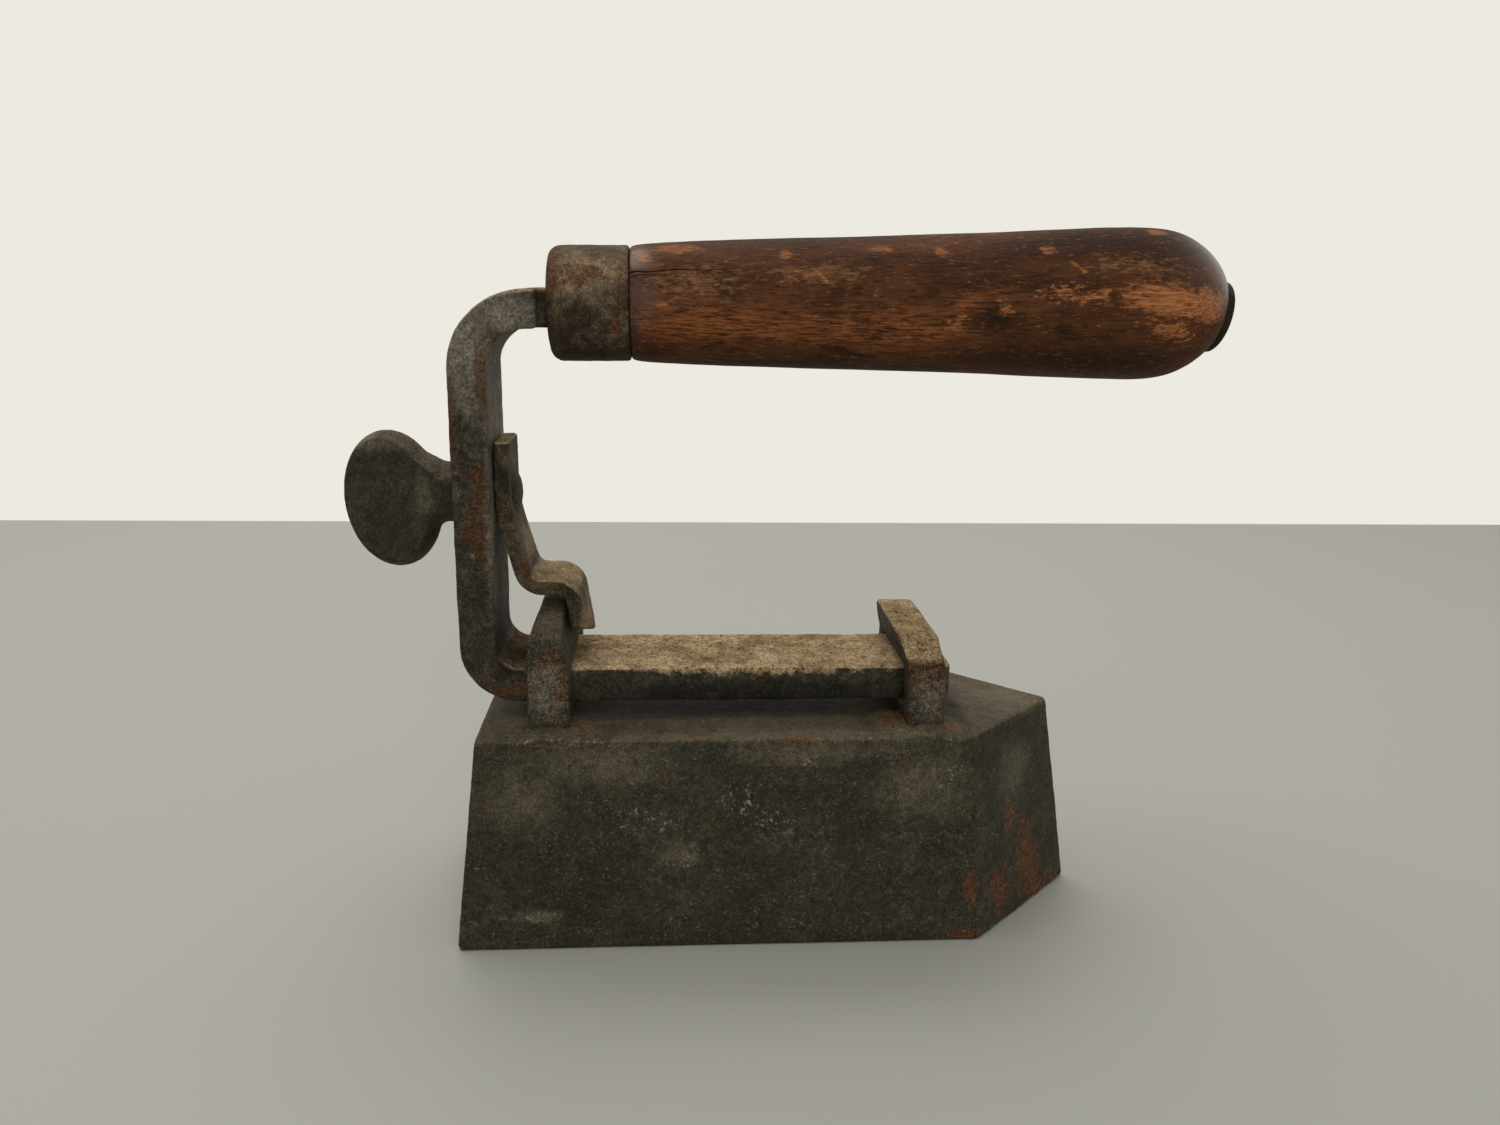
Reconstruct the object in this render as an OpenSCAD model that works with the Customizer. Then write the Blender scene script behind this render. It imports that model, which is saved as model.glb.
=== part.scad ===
// Slug iron with a lift-off handle. A solid cast block carries two forged eyes. The tongue of a bent
// flat bar slides through both eyes, and the bar's tang holds a turned wooden grip. A turn latch on the
// bar's upright hooks in front of the rear eye and keeps the tongue from sliding back out.
// Millimetres. X points to the nose, Z is up, and the origin is the middle of the sole.

/* [Iron block] */
// Length of the sole, from the flat back to the point of the nose
sole_l = 144; // [120:1:190]
// Width of the sole
sole_w = 56; // [52:1:80]
// Length of the pointed nose
nose_l = 29; // [18:1:36]
// Height of the block
block_h = 47; // [30:1:70]
// How far each long side leans in between sole and top
side_draft = 4.4; // [1:0.1:6]
// How far the back leans in
back_draft = 4.7; // [1:0.1:8]
// How far each nose face leans in, square to the face
nose_draft = 5.6; // [1:0.1:8]

/* [Flat bar] */
// Width of the bar
bar_w = 24.4; // [18:0.1:26]
// Thickness of the bar
bar_t = 7.9; // [6:0.1:10]
// How far the upright's outer face stands in from the back of the sole
upright_in = 0.5; // [0:0.1:4]
// Inside radius of the foot bend
foot_r = 5; // [3:0.1:7]
// Inside radius of the bend at the top of the upright
top_r = 8.4; // [3:0.1:9]
// Height of the handle, from under the tongue to the top of the arm
handle_h = 88.3; // [80:0.1:120]
// How far the tongue stands out in front of the front eye
tongue_proud = 3; // [1:0.1:6]
// Length of straight arm between the top bend and the neck
arm_l = 2; // [0.5:0.1:12]
// Width of the neck that enters the ferrule
neck_w = 15; // [9:0.1:17]
// Length of neck that shows in front of the ferrule
neck_l = 2; // [0.5:0.1:2.4]
// Diameter of the tang inside the grip
tang_d = 7; // [5:0.1:8]

/* [Eyes] */
// Height of the sill that carries the tongue above the block
sill_h = 4; // [2:0.1:8]
// Thickness of an eye's leg at its foot
foot_t = 7.6; // [5:0.1:8.6]
// Thickness of an eye's leg at its shoulder
shoulder_t = 6.4; // [4:0.1:7.5]
// Depth to which the legs are let into the block
tenon_depth = 12; // [6:1:20]
// Middle of the rear eye, from the back of the sole
rear_eye_at = 20.3; // [19:0.1:26]
// Length of the rear eye along the bar
rear_eye_l = 8.9; // [7:0.1:10]
// Length of the ridge on top of the rear eye, along the bar
rear_ridge_l = 4.6; // [4:0.1:7]
// Height over which the back of the rear eye slopes in to its ridge
rear_taper_h = 5; // [3:0.1:8]
// Height of the rear eye's crown above its window
rear_crown_h = 12.4; // [9:0.1:14]
// Height of the rear eye's sloping shoulders
rear_slope_h = 3.2; // [2:0.1:8]
// How far the rear eye's shoulders slope in
rear_slope_in = 17; // [10:0.1:18]
// Middle of the front eye, from the point of the nose
front_eye_at = 42; // [40:0.1:60]
// Length of the front eye along the bar
front_eye_l = 8.4; // [6:0.1:12]
// Length of the flat on top of the front eye, along the bar
front_ridge_l = 9.2; // [5:0.1:10]
// Height of the front eye's crown above its window
front_crown_h = 7.8; // [5:0.1:12]
// Height of the front eye's sloping shoulders
front_slope_h = 4.8; // [2:0.1:7]
// How far the front eye's shoulders slope in
front_slope_in = 4.8; // [2:0.1:8]
// How far the front eye's crown leans back
front_lean = 1.7; // [0:0.1:3]

/* [Grip] */
// Diameter of the ferrule
ferrule_d = 24; // [22:0.1:30]
// Length of the ferrule
ferrule_l = 16.9; // [10:0.1:30]
// Wall of the ferrule
ferrule_wall = 1.6; // [1:0.1:2.5]
// Thickness of the ferrule's closed end
ferrule_end_t = 2; // [1:0.1:4]
// Radius of the ferrule's rounded shoulder
ferrule_round = 2.6; // [1:0.1:4]
// Height of the grip's axis above the middle of the arm, at the ferrule
grip_lift = 0.85; // [0:0.05:1.5]
// Angle at which the grip rises towards the nose
grip_rise = 0.8; // [0:0.1:1.2]
// Length of grip that shows beyond the ferrule
grip_l = 129.4; // [90:0.1:160]
// Diameter of the grip just past the ferrule
grip_neck_d = 24.9; // [24:0.1:30]
// Length of the rounded shoulder beside the ferrule
grip_shoulder_l = 5; // [2:0.1:10]
// How far that shoulder drops towards the ferrule
grip_shoulder_in = 0.8; // [0.2:0.1:1.5]
// Largest diameter of the grip
grip_max_d = 32.5; // [30:0.1:40]
// Length of the domed end
dome_l = 18.3; // [10:0.1:30]
// Diameter of the washer at the end of the grip
washer_d = 15.4; // [13:0.1:18]
// Thickness of that washer
washer_t = 1.5; // [1:0.1:3]
// How deep the washer is bedded into the dome
washer_bed = 2.2; // [0.5:0.1:2.5]
// Diameter of the tang's hammered end
tang_head_d = 10; // [9:0.1:12]
// Height of the tang's hammered end
tang_head_h = 1.4; // [0.8:0.1:2.5]

/* [Turn latch] */
// Height of the latch's shank above the top of the block
shank_at = 49; // [46:0.1:55]
// Diameter of the shank
shank_d = 7; // [5:0.1:8]
// Diameter of the collar outside the upright
collar_d = 13.2; // [10:0.1:16]
// Length of the collar
collar_l = 2.2; // [1.2:0.1:4]
// Distance from the upright to the middle of the thumb piece
paddle_out = 14.6; // [13:0.1:20]
// How far the middle of the thumb piece lies below the shank
paddle_drop = 1.6; // [0:0.1:4]
// Height of the thumb piece
paddle_h = 29.8; // [24:0.1:40]
// Width of the thumb piece
paddle_w = 20.8; // [16:0.1:24]
// Thickness of the thumb piece at its outer edge
paddle_t = 4.4; // [3:0.1:7]
// Thickness of the thumb piece where it runs into the collar
paddle_root_t = 12.4; // [9:0.1:13]
// Diameter of the thumb piece where it leaves the collar
paddle_root_d = 12.4; // [9:0.1:13]
// Angle at which the thumb piece flares out of the collar
paddle_flare = 42; // [35:1:50]
// Lean of the thumb piece
paddle_lean = 6; // [0:0.5:12]
// Height of the neck where it runs into the thumb piece
paddle_neck_h = 22; // [16:0.1:24]
// Thickness of the latch
latch_t = 3.3; // [2.5:0.1:4.5]
// Width of the latch at its shelf
latch_w = 18.4; // [16:0.1:20]
// Width of the latch at its top end
latch_top_w = 15; // [11:0.1:16]
// How far the latch reaches above the shank
latch_up = 12; // [9:0.1:14]
// Length of the latch that lies flat along the upright
latch_flat_l = 10; // [8:0.1:13]
// Angle at which the latch slants away from the upright
latch_slant = 16; // [12:0.5:18]
// Inside radius where the latch starts to slant
latch_slant_r = 34; // [20:1:40]
// Inside radius of the two bends of the latch's shelf
latch_bend_r = 2.6; // [1:0.1:3]
// Length of the hook below the shelf
hook_l = 11.6; // [8:0.1:12]
// Angle at which the hook leans away from the rear eye
hook_lean = 9; // [7:0.5:14]
// Diameter of the shank's hammered end
rivet_d = 9; // [8.5:0.1:11]
// Height of the shank's hammered end
rivet_h = 1.7; // [0.8:0.1:2.5]

/* [Fits] */
// Gap beside and below the tongue in the eyes
slide_gap = 0.3; // [0.1:0.05:0.4]
// Room above the tongue in the eyes
lift_gap = 0.4; // [0.3:0.05:0.8]
// Radial clearance of the shank in the upright
pivot_gap = 0.06; // [0.02:0.01:0.1]
// Gap between the turning pieces and the upright's faces
face_gap = 0.3; // [0.15:0.05:0.5]
// Clearance of pieces that are driven together
drive_gap = 0.05; // [0.02:0.01:0.1]
// Height of the latch's shelf above the rear eye
shelf_gap = 2.8; // [2:0.1:4]
// Gap between the hook and the rear eye
hook_gap = 1.1; // [0.4:0.05:1.2]
// Room around the washer in its seat
seat_room = 0.5; // [0.2:0.1:1.5]

/* [Hidden] */
// Facets of a full circle, and the largest angle between neighbouring points of a bend
$fn = 72;
$fa = 6;

// Places along the block
back_x = -sole_l / 2;
nose_x = sole_l / 2;
rear_eye_x = back_x + rear_eye_at;
front_eye_x = nose_x - front_eye_at;
upright_x = back_x + upright_in;
reach = sole_l + sole_w;

// Heights of the bar and the windows that it runs through
sill_z = block_h + sill_h;
tongue_z = sill_z + slide_gap;
window_top_z = tongue_z + bar_t + lift_gap;
window_w = bar_w + 2 * slide_gap;
rear_top_z = window_top_z + rear_crown_h;
arm_z = tongue_z + handle_h - bar_t / 2;

// Straight runs of the bar between its bends
tongue_tip_x = front_eye_x + front_eye_l / 2 + tongue_proud;
tongue_run = tongue_tip_x - (upright_x + bar_t + foot_r);
upright_run = handle_h - 2 * bar_t - foot_r - top_r;
ferrule_x = upright_x + bar_t + top_r + arm_l + neck_l;
neck_run = neck_l + ferrule_end_t / 2;

// Places along the grip, measured on its own axis from the ferrule's closed end
grip_z = arm_z + grip_lift;
grip_end = ferrule_l + grip_l;
dome_start = grip_end - dome_l;
neck_r = grip_neck_d / 2;
max_r = grip_max_d / 2;
spigot_r = ferrule_d / 2 - ferrule_wall - drive_gap;

// Where the tang comes out of the dome, and how the dome slopes there
tang_drop = -grip_lift * cos(grip_rise) - grip_end * sin(grip_rise);
dome_along = dome_l * sqrt(1 - pow(tang_drop / max_r, 2));
dome_slope = atan2(tang_drop / pow(max_r, 2), dome_along / pow(dome_l, 2));

// Centre line of the latch: the shelf clears the rear eye and the hook hangs in front of its crown
shank_z = block_h + shank_at;
latch_x = upright_x + bar_t + face_gap + latch_t / 2;
slant_c = latch_slant_r + latch_t / 2;
bend_c = latch_bend_r + latch_t / 2;
shelf_z = rear_top_z + shelf_gap + latch_t / 2;
slant_top_z = shank_z + latch_up - latch_flat_l - slant_c * sin(latch_slant);
slant_run = (slant_top_z - bend_c * (1 - sin(latch_slant)) - shelf_z) / cos(latch_slant);
shelf_start_x = latch_x + slant_c * (1 - cos(latch_slant)) + slant_run * sin(latch_slant)
    + bend_c * cos(latch_slant);
hook_z = shelf_z - bend_c * (1 - sin(hook_lean));
hook_face_x = rear_eye_x + rear_ridge_l / 2 + hook_gap;
hook_x = hook_face_x + latch_t / 2 / cos(hook_lean) - (hook_z - rear_top_z) * tan(hook_lean);
shelf_run = hook_x - bend_c * cos(hook_lean) - shelf_start_x;

// Extra length on every cutting shape, so that it passes right through
over = 1;

// Angles between neighbouring points of rounded shoulders and ovals
shoulder_step = 15;
oval_step = 7.5;

// Everything on one side of a wall that leans back by draft over the height of the block
module lean_wall(draft) {
    rotate([90, 0, 0])
        linear_extrude(2 * reach, center = true)
            polygon([[-reach, 0], [0, 0], [-draft, block_h], [-reach, block_h]]);
}

// The upright sides of an eye seen along the bar
module eye_outline(top_z, slope_h, slope_in) {
    foot_y = window_w / 2 + foot_t;
    shoulder_y = window_w / 2 + shoulder_t;
    flat_y = shoulder_y - slope_in;
    polygon([
        [-foot_y, block_h], [-shoulder_y, top_z - slope_h], [-flat_y, top_z],
        [flat_y, top_z], [shoulder_y, top_z - slope_h], [foot_y, block_h]
    ]);
}

// One eye, with its legs let into the block and its crown leaning back by lean. The back slopes in to the
// ridge over taper_h, and the front over the whole crown.
module eye(length, ridge_l, crown_h, taper_h, slope_h, slope_in, lean) {
    top_z = window_top_z + crown_h;
    difference() {
        union() {
            intersection() {
                rotate([90, 0, 90])
                    linear_extrude(2 * length, center = true)
                        eye_outline(top_z, slope_h, slope_in);
                rotate([90, 0, 0])
                    linear_extrude(sole_w, center = true)
                        polygon([
                            [-length / 2, block_h], [-length / 2, top_z - taper_h],
                            [-ridge_l / 2 - lean, top_z], [ridge_l / 2 - lean, top_z],
                            [length / 2, window_top_z], [length / 2, block_h]
                        ]);
            }
            eye_tenons(length, 0);
        }
        translate([-length, -window_w / 2, sill_z])
            cube([2 * length, window_w, window_top_z - sill_z]);
    }
}

// The two legs let into the block, or the mortises for them with room all round. Both reach a little
// above the block, where the legs run into the eye and the mortises are open.
module eye_tenons(length, room) {
    tenon_l = length - 2 * slide_gap;
    for (side = [-1, 1])
        translate([
            -tenon_l / 2 - room,
            side * (window_w + shoulder_t) / 2 - shoulder_t / 2 - room,
            block_h - tenon_depth - room
        ])
            cube([tenon_l + 2 * room, shoulder_t + 2 * room, tenon_depth + room + over]);
}

// Points [x, z, heading] along a bend that starts at x, z and heads in direction a
function bend_path(x, z, a, turn, c) =
    let (count = ceil(abs(turn) / $fa), side = sign(turn))
    [for (k = [1:count])
        let (b = a + turn * k / count)
        [x + side * c * (sin(b) - sin(a)), z - side * c * (cos(b) - cos(a)), b]];

// Centre line of a strip of thickness t that follows steps of [run, bend angle, inside radius]
function strip_path(steps, t, from = [0, 0, 0], i = 0) =
    let (
        x = from[0] + steps[i][0] * cos(from[2]),
        z = from[1] + steps[i][0] * sin(from[2]),
        run = [from, [x, z, from[2]]]
    )
    i == len(steps) - 1 ? run :
    let (bend = bend_path(x, z, from[2], steps[i][1], steps[i][2] + t / 2))
    concat(run, bend, strip_path(steps, t, bend[len(bend) - 1], i + 1));

// A flat strip of width w that starts along X and bends towards Z
module bent_strip(steps, t, w) {
    path = strip_path(steps, t);
    last = len(path) - 1;
    rotate([90, 0, 0])
        linear_extrude(w, center = true)
            polygon(concat(
                [for (i = [0:last])
                    [path[i][0] - t / 2 * sin(path[i][2]), path[i][1] + t / 2 * cos(path[i][2])]],
                [for (i = [last:-1:0])
                    [path[i][0] + t / 2 * sin(path[i][2]), path[i][1] - t / 2 * cos(path[i][2])]]
            ));
}

// A round bar along X at the height z
module rod_x(d, from_x, to_x, z) {
    translate([from_x, 0, z])
        rotate([0, 90, 0])
            cylinder(d = d, h = to_x - from_x);
}

// A hammered end: a low round cap on the plane x = 0
module hammered_cap(d, h) {
    r = (d * d / 4 + h * h) / (2 * h);
    rim = asin(d / 2 / r);
    turned(concat(
        [[0, 0]],
        [for (turn = [90:-shoulder_step:0])
            let (a = rim * turn / 90)
            [r * sin(a), h - r * (1 - cos(a))]]
    ));
}

// The grip's own axis, with X running from the ferrule's closed end to the dome
module grip_frame() {
    translate([ferrule_x, 0, grip_z])
        rotate([0, -grip_rise, 0])
            children();
}

// The washer's seat in the dome, with X pointing out of the wood
module washer_frame() {
    grip_frame()
        translate([dome_start + dome_along, 0, tang_drop])
            rotate([0, -dome_slope, 0])
                translate([-washer_bed, 0, 0])
                    children();
}

// A turned shape on the X axis, from points of [radius, distance along X]
module turned(points) {
    rotate([0, 90, 0])
        rotate_extrude()
            polygon(points);
}

module iron_block() {
    color([0.13, 0.125, 0.115])
        difference() {
            intersection() {
                translate([back_x, 0, 0])
                    rotate([0, 0, 180])
                        lean_wall(back_draft);
                intersection_for(side = [-1, 1])
                    translate([0, side * sole_w / 2, 0])
                        rotate([0, 0, side * 90])
                            lean_wall(side_draft);
                intersection_for(side = [-1, 1])
                    translate([nose_x, 0, 0])
                        rotate([0, 0, side * atan2(nose_l, sole_w / 2)])
                            lean_wall(nose_draft);
            }
            translate([rear_eye_x, 0, 0])
                eye_tenons(rear_eye_l, drive_gap);
            translate([front_eye_x, 0, 0])
                eye_tenons(front_eye_l, drive_gap);
        }
}

module rear_eye() {
    color([0.2, 0.18, 0.16])
        translate([rear_eye_x, 0, 0])
            eye(rear_eye_l, rear_ridge_l, rear_crown_h, rear_taper_h, rear_slope_h, rear_slope_in, 0);
}

module front_eye() {
    color([0.22, 0.19, 0.16])
        translate([front_eye_x, 0, 0])
            eye(
                front_eye_l, front_ridge_l, front_crown_h, front_crown_h, front_slope_h, front_slope_in,
                front_lean
            );
}

// The tang runs through the grip and the washer, and ends inside its own hammered cap
module tang() {
    difference() {
        rod_x(tang_d, ferrule_x, ferrule_x + grip_end + dome_l, arm_z);
        washer_frame()
            translate([washer_t + tang_head_h / 4, -reach / 2, -reach / 2])
                cube(reach);
    }
    washer_frame()
        translate([washer_t, 0, 0])
            hammered_cap(tang_head_d, tang_head_h);
}

module handle_bar() {
    color([0.17, 0.16, 0.15])
        difference() {
            union() {
                translate([tongue_tip_x, 0, tongue_z + bar_t / 2])
                    rotate([0, 0, 180])
                        bent_strip(
                            [[tongue_run, 90, foot_r], [upright_run, 90, top_r], [arm_l, 0, 0]],
                            bar_t, bar_w
                        );
                translate([ferrule_x - neck_l, -neck_w / 2, arm_z - bar_t / 2])
                    cube([neck_run, neck_w, bar_t]);
                tang();
            }
            rod_x(shank_d + 2 * pivot_gap, upright_x - over, upright_x + bar_t + over, shank_z);
        }
}

module ferrule() {
    r = ferrule_d / 2;
    bore_r = r - ferrule_wall;
    color([0.2, 0.15, 0.11])
        difference() {
            grip_frame()
                turned(concat(
                    [[0, 0]],
                    [for (a = [0:shoulder_step:90])
                        [r - ferrule_round * (1 - sin(a)), ferrule_round * (1 - cos(a))]],
                    [[r, ferrule_l], [bore_r, ferrule_l], [bore_r, ferrule_end_t], [0, ferrule_end_t]]
                ));
            translate([
                ferrule_x - over, -neck_w / 2 - drive_gap, arm_z - bar_t / 2 - drive_gap
            ])
                cube([ferrule_end_t + 2 * over, neck_w + 2 * drive_gap, bar_t + 2 * drive_gap]);
        }
}

module grip() {
    spigot_start = ferrule_end_t + drive_gap;
    color([0.23, 0.1, 0.05])
        difference() {
            grip_frame()
                turned(concat(
                    [[0, spigot_start], [spigot_r, spigot_start], [spigot_r, ferrule_l]],
                    [for (a = [0:shoulder_step:90])
                        [neck_r - grip_shoulder_in * (1 - sin(a)),
                         ferrule_l + grip_shoulder_l * (1 - cos(a))]],
                    [for (a = [0:oval_step:90])
                        [max_r * cos(a), dome_start + dome_l * sin(a)]]
                ));
            rod_x(tang_d + 2 * drive_gap, ferrule_x, ferrule_x + grip_end + over, arm_z);
            washer_frame()
                rod_x(washer_d + 2 * seat_room, 0, dome_l, 0);
        }
}

module end_washer() {
    color([0.14, 0.11, 0.09])
        difference() {
            washer_frame()
                rod_x(washer_d, 0, washer_t, 0);
            rod_x(tang_d + 2 * drive_gap, ferrule_x, ferrule_x + grip_end + dome_l, arm_z);
        }
}

// The thumb piece seen from the side: a leaning oval and the neck that joins it to the collar
module paddle_outline(root_x, paddle_x) {
    translate([paddle_x, shank_z - paddle_drop])
        rotate(paddle_lean)
            polygon([for (a = [0:oval_step:360 - oval_step])
                [paddle_w / 2 * cos(a), paddle_h / 2 * sin(a)]]);
    polygon([
        [root_x, shank_z - collar_d / 2],
        [root_x, shank_z + collar_d / 2],
        [paddle_x, shank_z + paddle_neck_h / 2],
        [paddle_x, shank_z - paddle_neck_h / 2]
    ]);
}

// The thumb piece: hammered to a wedge that flares out of the collar
module paddle(plate_x) {
    root_x = plate_x + over;
    paddle_x = upright_x - paddle_out;
    tip_x = paddle_x - paddle_w / 2 - over;
    flare = tan(paddle_flare);
    intersection() {
        rotate([90, 0, 0])
            linear_extrude(2 * collar_d, center = true)
                paddle_outline(root_x, paddle_x);
        linear_extrude(reach)
            polygon([
                [root_x, -paddle_root_t / 2], [root_x, paddle_root_t / 2],
                [tip_x, paddle_t / 2], [tip_x, -paddle_t / 2]
            ]);
        translate([root_x, 0, shank_z])
            rotate([0, -90, 0])
                cylinder(
                    r1 = paddle_root_d / 2 - over * flare,
                    r2 = paddle_root_d / 2 + (plate_x - tip_x) * flare,
                    h = root_x - tip_x
                );
    }
}

module thumb_key() {
    collar_x = upright_x - face_gap;
    plate_x = collar_x - collar_l;
    rivet_x = latch_x + latch_t / 2;
    color([0.16, 0.155, 0.145]) {
        rod_x(shank_d, plate_x, rivet_x, shank_z);
        rod_x(collar_d, plate_x, collar_x, shank_z);
        translate([rivet_x, 0, shank_z])
            hammered_cap(rivet_d, rivet_h);
        paddle(plate_x);
    }
}

// Everything within the tapering sides of the latch, as wide as its top end there and as its shelf there
module latch_sides() {
    top_z = shank_z + latch_up;
    taper = (latch_w - latch_top_w) / 2 / (top_z - shelf_z);
    rotate([90, 0, 90])
        linear_extrude(2 * reach, center = true)
            polygon([
                [-latch_top_w / 2 + taper * over, top_z + over], [latch_top_w / 2 - taper * over, top_z + over],
                [latch_top_w / 2 + taper * top_z, 0], [-latch_top_w / 2 - taper * top_z, 0]
            ]);
}

// The latch, with its hole for the shank and a flat seat for the shank's hammered end
module latch() {
    color([0.2, 0.18, 0.15])
        difference() {
            intersection() {
                translate([latch_x, 0, shank_z + latch_up])
                    rotate([0, 90, 0])
                        bent_strip(
                            [
                                [latch_flat_l, latch_slant, latch_slant_r],
                                [slant_run, 90 - latch_slant, latch_bend_r],
                                [shelf_run, hook_lean - 90, latch_bend_r],
                                [hook_l, 0, 0]
                            ],
                            latch_t, latch_w
                        );
                latch_sides();
            }
            rod_x(shank_d + 2 * drive_gap, latch_x - latch_t, latch_x + latch_t, shank_z);
            rod_x(
                rivet_d + 2 * drive_gap, latch_x + latch_t / 2 - drive_gap, latch_x + 2 * latch_t, shank_z
            );
        }
}

iron_block();
rear_eye();
front_eye();
handle_bar();
ferrule();
grip();
end_washer();
thumb_key();
latch();
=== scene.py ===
# %% [markdown]
# # An old slug iron with a lift-off handle
# The real thing is a solid cast block that was heated on a stove. Its handle is a bent flat bar that
# slides through a pair of forged eyes, with a turned wooden grip and a small turn latch that locks it. A
# measured model of every piece already exists. In this lesson each piece is modelled again at the same
# size and place, with the soft edges, hammer marks, rust and worn varnish that the measured model lacks.

import math

import bmesh
import bpy
from mathutils import Matrix, Vector


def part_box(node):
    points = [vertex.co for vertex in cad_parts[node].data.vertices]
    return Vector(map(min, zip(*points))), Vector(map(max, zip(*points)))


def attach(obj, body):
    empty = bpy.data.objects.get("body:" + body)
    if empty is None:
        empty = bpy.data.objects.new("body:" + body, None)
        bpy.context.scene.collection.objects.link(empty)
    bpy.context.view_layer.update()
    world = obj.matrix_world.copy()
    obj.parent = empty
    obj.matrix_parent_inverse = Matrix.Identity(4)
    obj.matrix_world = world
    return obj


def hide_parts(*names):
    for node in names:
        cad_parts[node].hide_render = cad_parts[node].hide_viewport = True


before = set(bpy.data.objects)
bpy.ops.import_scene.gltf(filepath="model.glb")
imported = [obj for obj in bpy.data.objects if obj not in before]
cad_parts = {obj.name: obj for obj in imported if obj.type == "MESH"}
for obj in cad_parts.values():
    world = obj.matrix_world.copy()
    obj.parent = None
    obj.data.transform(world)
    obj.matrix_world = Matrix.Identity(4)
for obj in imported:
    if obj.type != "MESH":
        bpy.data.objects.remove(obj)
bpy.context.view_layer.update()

# %% [markdown]
# ## The camera
# A render can only be compared with a photo when both are taken from the same spot. The place, the
# direction and the focal length below were worked out from the corners of the iron block. The camera
# looks down on the iron a little, from in front of its long side.

# %% Place the camera
CAMERA_AT = (-0.025198, -0.24923, 0.144083)
CAMERA_YAW, CAMERA_PITCH, CAMERA_ROLL = 0.0694, 0.2514, 0.018
FOCAL_PX, IMAGE_W = 1138.47, 1500
SENSOR_W = 36.0

ahead = Vector((
    math.sin(CAMERA_YAW) * math.cos(CAMERA_PITCH),
    math.cos(CAMERA_YAW) * math.cos(CAMERA_PITCH),
    -math.sin(CAMERA_PITCH),
))
level = Vector((math.cos(CAMERA_YAW), -math.sin(CAMERA_YAW), 0))
above = level.cross(ahead)
right = math.cos(CAMERA_ROLL) * level + math.sin(CAMERA_ROLL) * above
up = -math.sin(CAMERA_ROLL) * level + math.cos(CAMERA_ROLL) * above

bpy.ops.object.select_all(action="DESELECT")
bpy.ops.object.camera_add(location=CAMERA_AT)
camera = bpy.context.object
turn = Matrix((right, up, -ahead)).transposed()
camera.matrix_world = Matrix.Translation(CAMERA_AT) @ turn.to_4x4()
camera.data.sensor_fit = "HORIZONTAL"
camera.data.sensor_width = SENSOR_W
camera.data.lens = SENSOR_W * FOCAL_PX / IMAGE_W
camera.data.clip_start = 0.01
bpy.context.scene.camera = camera
print("Camera lens in mm:", round(camera.data.lens, 2))

# %% [markdown]
# ## Light, floor and background
# The iron stands on a pale table in front of a white wall, in soft light from above and from the window
# side. A floor plane keeps the shadow. The wall is a white world behind it, which the camera sees at full
# strength, and so do reflections that look that way. From all other sides the world is a weaker, even
# light, so that the colours of the materials come out about as they are written.

# %% Make the table, the lamps and the world
def lamp(name, place, aim, size, watts, tint=(1, 1, 1)):
    bpy.ops.object.select_all(action="DESELECT")
    bpy.ops.object.light_add(type="AREA", location=place)
    made = bpy.context.object
    made.name = name
    made.rotation_euler = (Vector(aim) - Vector(place)).to_track_quat("-Z", "Y").to_euler()
    made.data.shape = "DISK"
    made.data.size = size
    made.data.energy = watts
    made.data.color = tint


lamp("ceiling_lamp", (-0.15, 0.28, 1.0), aim=(0, 0.1, 0.05), size=1.1, watts=6.4, tint=(1.0, 0.985, 0.95))
lamp("window_lamp", (0.12, -1.1, 0.5), aim=(0, 0, 0.09), size=0.5, watts=2.9)

TABLE_W, TABLE_BACK = 3.0, 0.405
TABLE_TONE, WALL_TONE, SOFT_LIGHT = (0.46, 0.455, 0.405, 1), (0.845, 0.82, 0.755, 1), 0.34
bpy.ops.object.select_all(action="DESELECT")
bpy.ops.mesh.primitive_plane_add(size=TABLE_W, location=(0, TABLE_BACK - TABLE_W / 2, 0))
bpy.ops.object.transform_apply(location=True, rotation=True, scale=True)
table = bpy.context.object
table.name = "table"

table_paint = bpy.data.materials.new("pale_table_paint")
table_paint.use_nodes = True
table_shader = table_paint.node_tree.nodes["Principled BSDF"]
table_shader.inputs["Base Color"].default_value = TABLE_TONE
table_shader.inputs["Roughness"].default_value = 0.6
table.data.materials.append(table_paint)

world = bpy.data.worlds.new("white_room")
bpy.context.scene.world = world
world.use_nodes = True
room = world.node_tree
room.nodes.clear()


def room_node(kind, *inputs, **settings):
    made = room.nodes.new("ShaderNode" + kind)
    for name, value in settings.items():
        setattr(made, name, value)
    for socket, value in enumerate(inputs):
        if isinstance(value, bpy.types.NodeSocket):
            room.links.new(value, made.inputs[socket])
        else:
            made.inputs[socket].default_value = value
    return made


path = room_node("LightPath").outputs
heading = room_node("TexCoord").outputs["Generated"]
towards = room_node("SeparateXYZ", heading).outputs
backward = room_node("MapRange", towards["Y"], -0.1, 0.4).outputs["Result"]
mirrored = room_node("Math", path["Is Glossy Ray"], backward, operation="MULTIPLY").outputs[0]
direct = room_node(
    "Math", path["Is Camera Ray"], path["Is Transmission Ray"], operation="MAXIMUM"
).outputs[0]
seen = room_node("Math", direct, mirrored, operation="MAXIMUM").outputs[0]
soft_light = room_node("Background", (1, 1, 1, 1), SOFT_LIGHT).outputs[0]
white_wall = room_node("Background", WALL_TONE, 1.0).outputs[0]
chosen = room_node("MixShader", seen, soft_light, white_wall).outputs[0]
room_node("OutputWorld", chosen)
bpy.context.scene.view_settings.view_transform = "Standard"

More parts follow.
